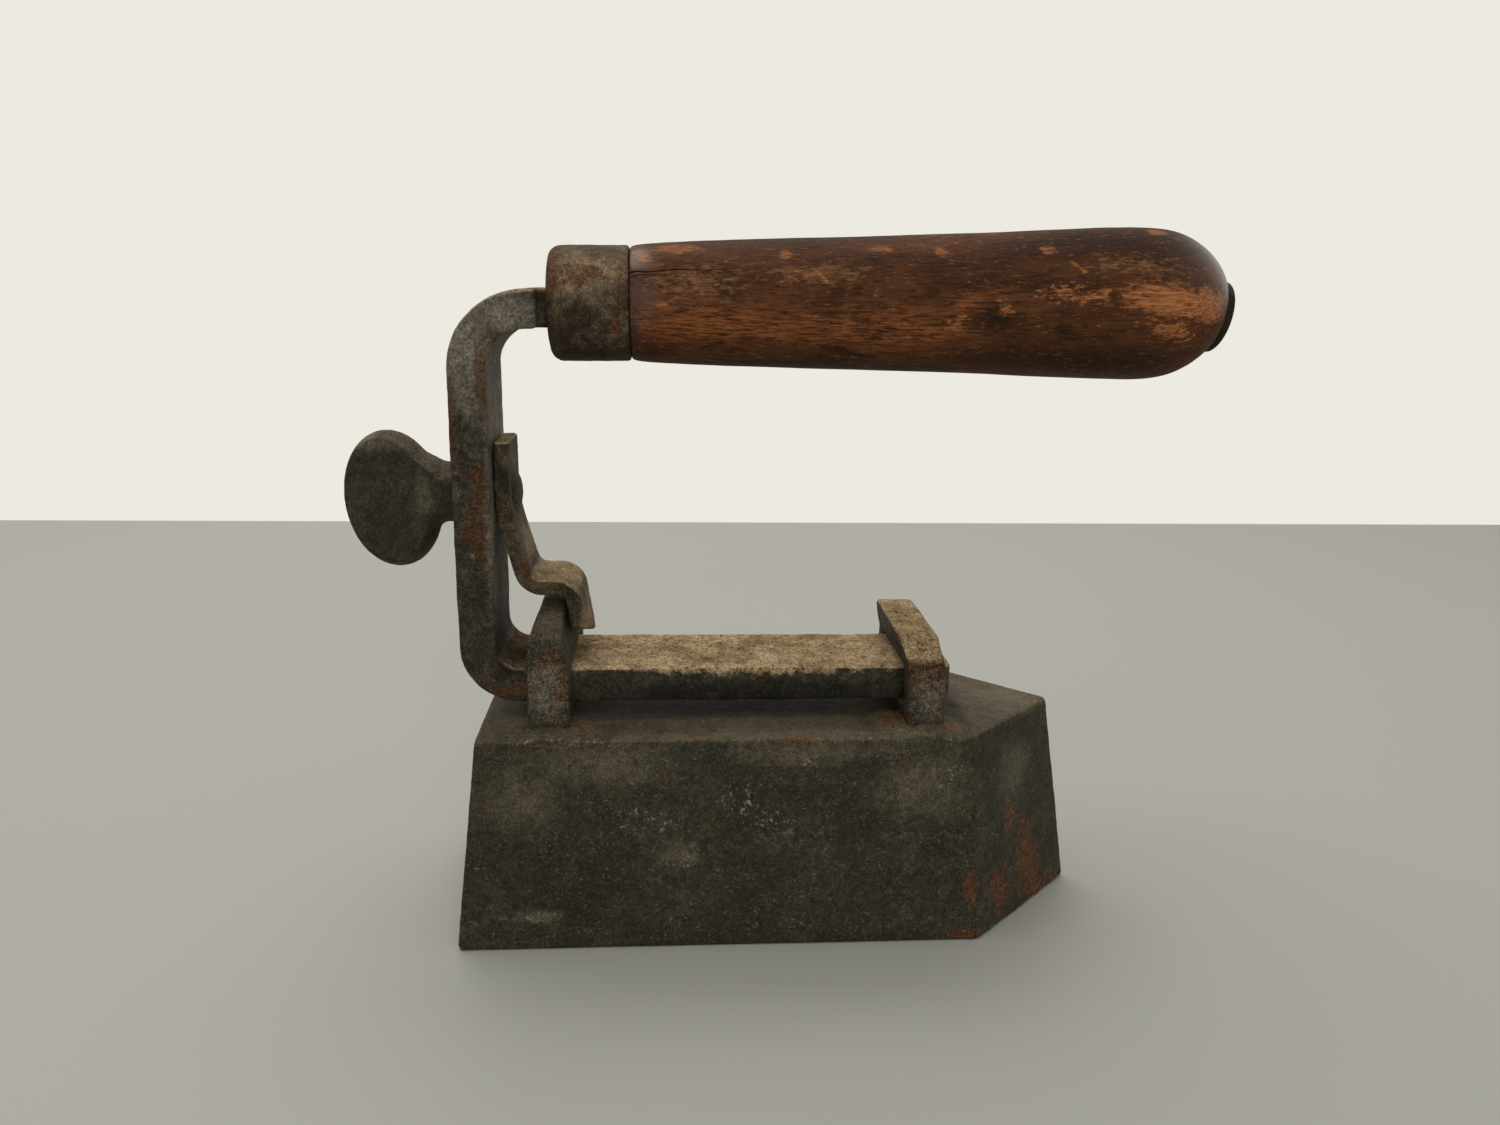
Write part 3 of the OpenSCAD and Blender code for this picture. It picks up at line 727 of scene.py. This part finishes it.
def forge_eye(name, middle, length, ridge_l, lean, top, slope_h, flat_y, soften, tapers=()):
    """Lean sets the crown back. A taper is a side and the height at which its slope to the ridge starts."""
    back, front = middle - length / 2, middle + length / 2
    eye = cube(name, (back, -FOOT_Y, LEG_BOTTOM), (front, FOOT_Y, top))
    leg_h, crown_h = top - slope_h - BLOCK_H, top - WINDOW_TOP
    edit(eye)
    for side in (-1, 1):
        slice_off((middle, side * FOOT_Y, BLOCK_H), (0, side * leg_h, FOOT_Y - SHOULDER_Y))
        slice_off((middle, side * SHOULDER_Y, top - slope_h), (0, side * slope_h, SHOULDER_Y - flat_y))
    for side, start in tapers:
        slice_off((middle + side * length / 2, 0, start), (side * (top - start), 0, (length - ridge_l) / 2))
    if not tapers:
        bpy.ops.mesh.select_all(action="SELECT")
        bpy.ops.mesh.bisect(plane_co=mm(middle, 0, WINDOW_TOP), plane_no=(0, 0, 1))
        for height in (top - slope_h, top):
            share = (height - WINDOW_TOP) / crown_h
            longer = 1 + share * (ridge_l / length - 1)
            pick(eye, lambda co, normal: abs(co.z - height) < 0.1, "VERT")
            bpy.ops.transform.resize(value=(longer, 1, 1), center_override=mm(middle, 0, height))
            bpy.ops.transform.translate(value=mm(-lean * share, 0, 0))
    done()
    cut(eye, cube("window", (back - 9, -WINDOW_W / 2, SILL_Z), (front + 9, WINDOW_W / 2, WINDOW_TOP)))
    edit(eye)
    shoulder = lambda co, way: abs(way.x) > 0.9 and abs(co.y) > 15 and co.z > WINDOW_TOP + 0.5
    pick(eye, shoulder, "EDGE")
    bevel(soften, 5)
    done()
    round_edges(eye, 1.2)
    hammered(eye, name, grid=0.36, passes=4, dents=(7, 0.55), scale=(1.3, 0.2))
    return eye


rear_eye = forge_eye(
    "rear_gable_eye", middle=-51.7, length=8.9, ridge_l=4.6, lean=0, top=72.0, slope_h=3.2, flat_y=1.9,
    soften=2.6, tapers=((-1, 67.0), (1, WINDOW_TOP)),
)
front_eye = forge_eye(
    "front_flat_eye", middle=30.0, length=8.4, ridge_l=9.2, lean=1.7, top=67.4, slope_h=4.8, flat_y=14.1,
    soften=1.2,
)
hand_over(rear_eye, "rear_eye", "base", REAR_EYE_IRON)
hand_over(front_eye, "front_eye", "base", FRONT_EYE_IRON)

# %% [markdown]
# ## The bent bar
# One length of flat bar makes the tongue, the upright and the arm. A smith bends it hot round the anvil's
# horn, so the bends are true arcs. Here the end face of the bar is drawn out in the same way: a straight
# run is extruded, and a bend is spun about its centre. The same helper bends the latch later.

# %% Draw out and bend the flat bar
def draw_strip(name, start, heading, thick, wide, steps):
    """Steps are (run, bend in degrees, inside radius). Headings turn from +X towards +Z."""
    x, z = start
    bpy.ops.object.select_all(action="DESELECT")
    bpy.ops.mesh.primitive_plane_add(size=1, location=mm(x, 0, z), rotation=(0, math.pi / 2, 0))
    strip = settle(name)
    edit(strip)
    bpy.ops.mesh.select_all(action="SELECT")
    if abs(math.sin(heading)) > 0.5:
        bpy.ops.transform.rotate(value=math.pi / 2, orient_axis="Y", center_override=mm(x, 0, z))
        sides = (thick, wide, 1)
    else:
        sides = (1, wide, thick)
    bpy.ops.transform.resize(value=mm(*sides), center_override=mm(x, 0, z))
    for run, bend, radius in steps:
        step = Vector((math.cos(heading), 0, math.sin(heading))) * run
        draw_out(mm(*step))
        x, z = x + step.x, z + step.z
        if not bend:
            continue
        angle, reach = math.radians(bend), math.copysign(radius + thick / 2, bend)
        centre = (x - reach * math.sin(heading), z + reach * math.cos(heading))
        bpy.ops.mesh.spin(
            steps=max(3, round(abs(bend) / 6)), angle=angle, center=mm(centre[0], 0, centre[1]),
            axis=(0, 1, 0),
        )
        heading += angle
        x = centre[0] + reach * math.sin(heading)
        z = centre[1] - reach * math.cos(heading)
    done()
    tidy_normals(strip)
    return strip


BAR_W, BAR_T = 24.4, 7.9
TONGUE_TIP, TONGUE_Z, ARM_Z = 37.2, 55.25, 135.65
TIP_ROUND = 3.0
TONGUE_AND_FOOT, UPRIGHT_AND_TOP, ARM = (95.8, -90, 5.0), (59.1, -90, 8.4), (2.0, 0, 0)
bar = draw_strip(
    "bent_flat_bar", (TONGUE_TIP, TONGUE_Z), math.pi, BAR_T, BAR_W, [TONGUE_AND_FOOT, UPRIGHT_AND_TOP, ARM]
)
edit(bar)
pick(bar, lambda co, way: co.x > TONGUE_TIP - 0.1 and abs(way.z) > 0.9, "EDGE")
bevel(TIP_ROUND, 4)
done()
print("Bar box in mm:", box_mm(bar))

# %% [markdown]
# At the end of the arm the bar is drawn down to a narrower neck, which enters the ferrule. The neck is
# the end face, made narrower and extruded once more. The tang beyond it is a round rod that runs through
# the wood and is hammered over on the washer at the far end, so that head belongs to the bar too.

# %% Draw down the neck, drill the pivot hole and add the tang
NECK_W, NECK_END, ARM_END = 15.0, -50.2, -53.2
GRIP_START = Vector((-51.2, 0, 136.5))
GRIP_RISE = math.radians(0.8)
GRIP_AXIS = Vector((math.cos(GRIP_RISE), 0, math.sin(GRIP_RISE)))
SEAT = Vector((92.67, 0, 136.05))
SEAT_TILT = math.radians(10.7)
SEAT_OUT = Vector((math.cos(SEAT_TILT), 0, -math.sin(SEAT_TILT)))
WASHER_T, PIVOT_Z = 1.5, 96.0
PIVOT_HOLE_R, TANG_R = 3.56, 3.5

edit(bar)
pick(bar, lambda middle, out: out.x > 0.9 and middle.z > 130)
draw_out((0, 0, 0))
bpy.ops.transform.resize(value=(1, NECK_W / BAR_W, 1), center_override=mm(ARM_END, 0, ARM_Z))
draw_out(mm(NECK_END - ARM_END, 0, 0))
done()
round_edges(bar, 0.8)
hammered(bar, "bar", grid=0.5, passes=5, dents=(9, 0.45), scale=(1.5, 0.2))
cut(bar, rod("pivot_drill", (-80, PIVOT_Z), (-55, PIVOT_Z), PIVOT_HOLE_R))

tang_end = SEAT + SEAT_OUT * WASHER_T
tang = rod("tang", (NECK_END - 0.5, ARM_Z), (tang_end.x, ARM_Z), TANG_R, sides=48)
HEAD_R, HEAD_H, HEAD_RIM = 5.0, 1.4, 0.25
HEAD_STEPS = ((0.8, 0.35), (1.1, 0.3), (1.4, 0.2))
head_end = tang_end + SEAT_OUT * HEAD_H
head = rod("tang_head", tuple(tang_end.xz), tuple(head_end.xz), HEAD_R, sides=48)
edit(head)
pick(head, lambda middle, out: out.dot(SEAT_OUT) > 0.9)
bpy.ops.transform.translate(value=SEAT_OUT * (HEAD_RIM - HEAD_H) * 0.001)
for inset, lift in HEAD_STEPS:
    bpy.ops.mesh.inset(thickness=inset * 0.001)
    bpy.ops.transform.translate(value=SEAT_OUT * lift * 0.001)
done()
weld(bar, tang, head)
hand_over(bar, "handle_bar", "handle", BAR_IRON)

# %% [markdown]
# ## The ferrule
# A steel cup keeps the end of the wood from splitting. It is a cylinder whose closed end has a rounded
# shoulder. The open rim was rolled out a little. An inset on the open end, pushed in, makes the wall.

# %% Turn the ferrule
FERRULE_L, FERRULE_R, FERRULE_WALL, FERRULE_FLOOR = 16.9, 12.0, 1.6, 2.0
CUP_ROUND, RIM_ROUND = 2.6, 0.35


def on_grip(along):
    """A point on the grip's own axis, in the XZ plane."""
    point = GRIP_START + GRIP_AXIS * along
    return (point.x, point.z)


ferrule = rod("ferrule_cup", on_grip(0), on_grip(FERRULE_L), FERRULE_R, sides=120)
edit(ferrule)
pick(ferrule, lambda middle, out: out.x > 0.9)
bpy.ops.mesh.inset(thickness=FERRULE_WALL * 0.001)
draw_out(GRIP_AXIS * -(FERRULE_L - FERRULE_FLOOR) * 0.001)
pick(ferrule, lambda middle, way: middle.x < GRIP_START.x + 0.4 and abs(way.x) < 0.3, "EDGE")
bevel(CUP_ROUND, 6)
pick(ferrule, lambda middle, way: middle.x > on_grip(FERRULE_L)[0] - 0.3 and abs(way.x) < 0.3, "EDGE")
bevel(RIM_ROUND, 2)
done()
hammered(ferrule, "ferrule", grid=0.4, passes=3, dents=(8, 0.3), scale=(1.2, 0.14))
hand_over(ferrule, "ferrule", "handle", FERRULE_IRON)

# %% [markdown]
# ## Old varnished wood
# The wood has three layers. Below is the grain: long streaks with short dark pores, stretched along the
# grip. Over it lies a red-brown varnish, which hands have polished at both ends and blackened elsewhere.
# The darkening along the underside is painted shade, and the pale patches of thin varnish also paint a
# sheen. On top are the scuffs, where the varnish is gone and the orange wood shows. The polish is a clear
# coat, so that it can shine while the old varnish around it stays dull.

# %% Mix the varnished wood
WORN_PATCH = [
    ((77, -15.2, 139.3), (18, 9, 5.4), (0, 0.12, 0)), ((86, -14.2, 138.6), (9, 9, 6.0), (0, 0.2, 0)),
]
CHIPPED = [
    ((58, -15.3, 140.6), (17, 8, 4.0), (0, 0.06, 0)), ((77, -15, 133.5), (13, 8, 4), (0, 0.2, 0)),
    ((33, -14.2, 134.6), (5, 4, 5), (0, 0.9, 0)), ((42.4, -15, 137.1), (5, 4, 3), (0, 0.4, 0)),
]
SCUFFS = [
    ((-25, -6, 148), (9, 4.5, 2.2), (0, 0, 0)), ((-31.5, -7.5, 146.5), (4, 4, 2.2), (0, 0.6, 0)),
    ((-27.5, -12.5, 136.9), (2.6, 3, 1.8), (0, 0.3, 0)), ((-2.5, -8.9, 147.4), (2.4, 3, 1.8), (0, 0.4, 0)),
    ((17.4, -8.5, 148.8), (3.8, 3, 1.8), (0, 0, 0)), ((29.6, -9.8, 148.4), (2.4, 3, 2.2), (0, 0.5, 0)),
    ((51.9, -10.6, 149.2), (3.0, 3, 2.0), (0, 0.4, 0)), ((76.2, -6.1, 153.3), (4, 4, 1.8), (0, 0, 0)),
    ((4.7, -12.4, 143.2), (6, 3, 0.8), (0, 0.75, 0)), ((58, -13, 145.5), (4, 3, 0.8), (0, 0.6, 0)),
]
THIN_VARNISH_AND_SHEEN = [
    ((-20, -11.5, 141), (17, 6, 7)), ((4, -12, 143.5), (18, 6, 4)), ((70, -12, 146), (20, 7, 4)),
    ((40, 0, 150), (40, 9, 5)),
]
# Hand grime along the top and the middle, and painted shade along the underside of the grip.
GRIME_AND_SHADE_SPOTS = [
    ((70, -4, 150), (50, 18, 9)), ((60, -12, 126), (50, 14, 7.5)), ((41, -15, 136), (9, 6, 6)),
    ((0, 0, 152), (60, 11, 8)), ((-34, -12, 130), (4, 8, 9)), ((0, -6, 122.5), (60, 14, 6)),
]
WARM_WOOD = [
    ((-16, -13, 133), (40, 9, 8)), ((16, -13.5, 133), (40, 9, 8.5)), ((40, -14.5, 138), (18, 8, 5)),
]
POLISHED_ENDS = [((-34, -9, 139), (8, 14, 14)), ((86, -8, 145), (16, 16, 12))]
VARNISH_DARK, VARNISH_RED, STREAK_RED = (0.036, 0.014, 0.007), (0.1, 0.037, 0.015), (0.15, 0.056, 0.021)
WARM_DARK, WARM_ORANGE, THIN_TAN_AND_SHEEN = (0.058, 0.019, 0.0075), (0.33, 0.112, 0.037), (0.36, 0.172, 0.078)
BARE_ORANGE, BARE_PALE, NICK_TAN = (0.31, 0.104, 0.033), (0.58, 0.235, 0.084), (0.30, 0.140, 0.055)
GRIME_AND_SHADE, PORE_BLACK, CRACK_BLACK = (0.021, 0.012, 0.007), (0.014, 0.008, 0.005), (0.01, 0.007, 0.005)


def old_wood(name):
    paint = Paint(name)
    noise, between, mix, spots, torn = paint.noise, paint.between, paint.mix, paint.spots, paint.torn
    times, most = paint.times, paint.most
    fibre = noise((6, 0.32, 0.32), 4, 0.7, 0.15)
    streaks = between(fibre, 0.36, 0.66)
    cloud = noise((24, 7, 7), 5, 0.65, 0.5, shift=40)
    colour = mix(between(cloud, 0.35, 0.65), VARNISH_DARK, VARNISH_RED)
    colour = mix(times(streaks, 0.45), colour, STREAK_RED)

    dashes = between(noise((5, 0.45, 0.45), 5, 0.72, 0.3, shift=19), 0.38, 0.60)
    warm = mix(dashes, WARM_DARK, WARM_ORANGE)
    drifts = noise((10, 2.5, 2.5), 5, 0.7, 0.4, shift=33)
    blush = torn(spots(WARM_WOOD, 1.0), drifts, 1.2, 0.5)
    colour = mix(times(blush, 0.9), colour, warm)

    grime_and_shade = between(noise((13, 5, 5), 6, 0.68, 0.6, shift=18), 0.50, 0.66)
    grime_and_shade = most(times(grime_and_shade, 0.7), times(spots(GRIME_AND_SHADE_SPOTS, 0.9), 0.85))
    colour = mix(grime_and_shade, colour, GRIME_AND_SHADE)

    flecks = noise((2.2, 0.8, 0.8), 7, 0.8, 0.3, shift=66)
    bare = torn(spots(WORN_PATCH, 0.9), flecks, 3.0, 0.30)
    bare = most(bare, torn(times(spots(CHIPPED, 1.0), 0.6), flecks, 3.0, 0.16))
    scuffed = torn(spots(SCUFFS, 1.0), flecks, 2.6, 0.35)
    scuffed = times(scuffed, between(flecks, 0.3, 0.6, 0.25, 0.65))
    # Thin varnish: paler patches that also paint a soft sheen, most at the left end.
    thin = torn(times(spots(THIN_VARNISH_AND_SHEEN, 1.0), 0.55), flecks, 3.6, 0.4)
    colour = mix(times(thin, 0.65), colour, THIN_TAN_AND_SHEEN)
    bare = most(times(bare, between(dashes, 0.0, 0.8, 0.58, 1.0)), scuffed)
    bare_wood = mix(streaks, BARE_ORANGE, BARE_PALE)
    colour = mix(bare, colour, bare_wood)
    nicks = between(noise((1.1, 0.5, 0.5), 3, 0.6, shift=52), 0.70, 0.76)
    colour = mix(times(nicks, 0.6), colour, NICK_TAN)

    pores = between(noise((2.4, 0.26, 0.26), 2, 0.5, shift=7), 0.58, 0.68)
    colour = mix(times(pores, 0.65), colour, PORE_BLACK)
    hollow = between(paint.shape.outputs["Pointiness"], 0.47, 0.40)
    colour = mix(hollow, colour, CRACK_BLACK)

    ridges = paint.bump(fibre, 0.10, 0.6)
    pits = paint.bump(paint.math("SUBTRACT", 1.0, pores), 0.08, 0.6, ridges)
    paint.set(Base_Color=colour, Normal=pits, Roughness=between(bare, 0.0, 1.0, 0.62, 0.75))
    polished = spots(POLISHED_ENDS, 0.9)
    paint.set(Specular_IOR_Level=0.07, Coat_Weight=polished, Coat_Roughness=0.24)
    return paint.material


GRIP_WOOD = old_wood("old_varnished_wood")
print("Wood nodes:", len(GRIP_WOOD.node_tree.nodes))

# %% [markdown]
# ## The wooden grip
# The grip was turned on a lathe: a spigot inside the ferrule, a rounded shoulder, a slim body that swells
# towards the end, and a dome. A spun profile would do it too. Extruding a ring and scaling it at each
# station is closer to how a turner checks the work with calipers, and every diameter can be read in the
# list.

# %% Turn the grip ring by ring
SPIGOT_START, SPIGOT_R = 2.05, 10.35
DOME_START, DOME_L, GRIP_R = 128.0, 18.3, 16.25
STATIONS = [
    (16.85, 10.35), (16.9, 11.4), (17.4, 11.85), (18.4, 12.12), (20.4, 12.34), (23.0, 12.5), (30.0, 12.85),
    (39.0, 13.25), (48.0, 13.55), (58.0, 13.8), (70.0, 14.15), (82.0, 14.55), (94.0, 15.05), (106.0, 15.6),
    (116.0, 16.05), (123.0, 16.25), (DOME_START, GRIP_R),
]
for degrees in range(12, 90, 8):
    angle = math.radians(degrees)
    STATIONS.append((DOME_START + DOME_L * math.sin(angle), GRIP_R * math.cos(angle)))
ring_x, ring_z = on_grip(SPIGOT_START)
bpy.ops.object.select_all(action="DESELECT")
bpy.ops.mesh.primitive_circle_add(
    vertices=96, radius=SPIGOT_R * 0.001, fill_type="NGON", location=mm(ring_x, 0, ring_z),
    rotation=(0, math.pi / 2 - GRIP_RISE, 0),
)
grip = settle("turned_grip")
edit(grip)
bpy.ops.mesh.select_all(action="SELECT")
along, radius = SPIGOT_START, SPIGOT_R
for next_along, next_radius in STATIONS:
    draw_out(GRIP_AXIS * (next_along - along) * 0.001)
    x, z = on_grip(next_along)
    factor = next_radius / radius
    bpy.ops.transform.resize(value=(factor, factor, factor), center_override=mm(x, 0, z))
    along, radius = next_along, next_radius
done()
tidy_normals(grip)
modify(grip, "SUBSURF", levels=2, render_levels=2)
print("Grip faces after subdivision:", len(grip.data.polygons))

# %% [markdown]
# The end of the dome was cut flat for the washer. Years of use have left shallow dents, and the wood has
# split a little way in from the ferrule. The split is a real gap: a thin wedge with a wavy edge is cut
# out.

# %% Cut the washer's seat and the split, and dent the wood
TANG_HOLE_R = 3.55
SPLIT_RINGS, SPLIT_START, SPLIT_R, SWELL = 15, 15.0, 12.5, 0.045

edit(grip)
slice_off(SEAT, SEAT_OUT)
done()
roughen(grip, "grip_dents", size=16, depth=0.3, layers=1, middle=0.6)
roughen(grip, "grip_bruises", size=4, depth=0.12, middle=0.6)


def split_wedge(name, end, tilt, width, depth, seed):
    """A thin wavy wedge along the grip's side, at an angle above the level line."""
    length = end - SPLIT_START
    wedge = cube(name, (0, -depth, -width / 2), (length, depth, width / 2))
    edit(wedge)
    bpy.ops.mesh.select_all(action="SELECT")
    bpy.ops.mesh.subdivide(number_cuts=SPLIT_RINGS - 1)
    for ring in range(1, SPLIT_RINGS + 1):
        share = ring / SPLIT_RINGS
        pick(wedge, lambda co, normal: abs(co.x - length * share) < length / 40, "VERT")
        narrow = max(0.12, 1 - share)
        sway = 0.16 * math.sin(seed + ring * 1.1) + 0.07 * math.sin(seed * 3 + ring * 2.9)
        bpy.ops.transform.resize(value=(1, 1, narrow), center_override=(0, 0, 0))
        bpy.ops.transform.translate(value=mm(0, 0, sway))
    done()
    radius = SPLIT_R + SWELL * (SPLIT_START - FERRULE_L)
    x, z = on_grip(SPLIT_START)
    wedge.matrix_world = (
        Matrix.Translation(mm(x, -radius * math.cos(tilt), z + radius * math.sin(tilt)))
        @ Matrix.Rotation(-GRIP_RISE, 4, "Y") @ Matrix.Rotation(-tilt, 4, "X")
        @ Matrix.Rotation(-0.04, 4, "Z")
    )
    only(wedge)
    return settle(name)


cut(grip, split_wedge("long_split", 44.0, math.radians(33), width=0.42, depth=2.4, seed=1.0))
cut(grip, split_wedge("short_split", 28.0, math.radians(29), width=0.32, depth=1.6, seed=2.2))
cut(grip, rod("tang_drill", (-60, ARM_Z), (110, ARM_Z), TANG_HOLE_R))
hand_over(grip, "grip", "handle", GRIP_WOOD, angle=40)

# %% [markdown]
# ## The end washer
# A thick round washer sits on the flat at the end of the dome, under the hammered end of the tang. A
# cylinder is drilled, and its rims are rounded over.

# %% Make the washer
WASHER_R = 7.7
washer_top = SEAT + SEAT_OUT * WASHER_T
washer = rod("end_washer_disc", tuple(SEAT.xz), tuple(washer_top.xz), WASHER_R, sides=96)
cut(washer, rod("washer_drill", (80, ARM_Z), (110, ARM_Z), TANG_HOLE_R))
round_edges(washer, 0.4)
hand_over(washer, "end_washer", "handle", WASHER_IRON, angle=30)

# %% [markdown]
# ## The thumb piece
# The key that turns the latch was forged from a round bar. One end was upset into a bulb and beaten flat
# on both sides, and the other was turned down to a shank, which passes through the upright and is
# hammered over on the latch. The same order works here: an egg-shaped ball and a round neck are melted
# together by a remesh, and two leaning planes then cut the flats, which run out into a point on the neck
# as they do on the real key.

# %% Forge the thumb piece with its shank
UPRIGHT_BACK, FACE_GAP = -71.5, 0.3
BULB_X, BULB_Z, BULB_LEAN = -86.1, 94.4, math.radians(6)
BULB_RADII = (10.35, 9.5, 15.1)
FLAT_THIN, FLAT_THICK = 2.2, 6.2
NECK_R, FLARE_R, SHANK_R = 6.6, 12.0, 3.5
SHANK_END, RIVET_X, RIVET_H, RIVET_R = -59.3, -59.9, 1.6, 4.5

bpy.ops.object.select_all(action="DESELECT")
bpy.ops.mesh.primitive_uv_sphere_add(
    segments=64, ring_count=48, radius=1, location=mm(BULB_X, 0, BULB_Z), rotation=(0, -BULB_LEAN, 0),
    scale=mm(*BULB_RADII),
)
thumb = settle("thumb_bulb")
collar_x = UPRIGHT_BACK - FACE_GAP
neck = rod("neck", (collar_x - 4, PIVOT_Z), (collar_x, PIVOT_Z), NECK_R)
bpy.ops.object.select_all(action="DESELECT")
bpy.ops.mesh.primitive_cone_add(
    vertices=64, radius1=FLARE_R * 0.001, radius2=NECK_R * 0.001, depth=(collar_x - 3 - BULB_X) * 0.001,
    location=mm((BULB_X + collar_x - 3) / 2, 0, PIVOT_Z), rotation=(0, math.pi / 2, 0),
)
flare = settle("flare")
weld(thumb, neck, flare)
cast_skin(thumb, grid=0.4, passes=16)
edit(thumb)
for side in (-1, 1):
    flat_l = collar_x - 2 - (BULB_X - BULB_RADII[0])
    slice_off((BULB_X - BULB_RADII[0], side * FLAT_THIN, 0), (FLAT_THIN - FLAT_THICK, side * flat_l, 0))
done()
round_edges(thumb, 0.45, steps=2, angle=25)
shank = rod("shank", (collar_x - 2, PIVOT_Z), (SHANK_END, PIVOT_Z), SHANK_R)
bpy.ops.object.select_all(action="DESELECT")
bpy.ops.mesh.primitive_uv_sphere_add(
    segments=48, ring_count=24, radius=1, location=mm(RIVET_X, 0, PIVOT_Z),
    scale=mm(RIVET_H, RIVET_R, RIVET_R),
)
rivet = settle("rivet_end")
weld(thumb, shank, rivet)
thumb.name = "thumb_piece"
hammered(thumb, "thumb", grid=0.32, passes=1, dents=(8, 0.3), scale=(1.3, 0.16))
hand_over(thumb, "thumb_key", "turn_latch", THUMB_IRON)

# %% [markdown]
# ## The latch
# The latch is a short flat strip on the shank. It lies against the upright, slants away, steps out over
# the rear eye and hooks down in front of it. It is drawn out and bent by the same helper as the bar. Two
# slices make it narrower towards the top, and a third cuts the worn end of the hook at a slant.

# %% Bend the latch
LATCH_T, LATCH_W, LATCH_TOP_W = 3.3, 18.4, 15.0
LATCH_X, LATCH_TOP, SHELF_Z = -61.65, 108.0, 76.45
HOOK_NEAR, HOOK_FAR, SHANK_HOLE_R = 67.2, 61.4, 3.55
LATCH_STEPS = [(10.0, 16, 34.0), (8.99, 74, 2.6), (2.74, -81, 2.6), (11.6, 0, 0)]
latch = draw_strip("hook_latch", (LATCH_X, LATCH_TOP), -math.pi / 2, LATCH_T, LATCH_W, LATCH_STEPS)
edit(latch)
for side in (-1, 1):
    slice_off(
        (LATCH_X, side * LATCH_TOP_W / 2, LATCH_TOP),
        (0, side * (LATCH_TOP - SHELF_Z), (LATCH_W - LATCH_TOP_W) / 2),
    )
slice_off((LATCH_X, 0, (HOOK_NEAR + HOOK_FAR) / 2), (0, HOOK_FAR - HOOK_NEAR, -LATCH_W))
done()
round_edges(latch, 0.9)
cut(latch, rod("latch_drill", (-70, PIVOT_Z), (-55, PIVOT_Z), SHANK_HOLE_R))
hammered(latch, "latch", grid=0.3, passes=4, dents=(6, 0.3), scale=(1.2, 0.15))
hand_over(latch, "latch", "turn_latch", LATCH_IRON)
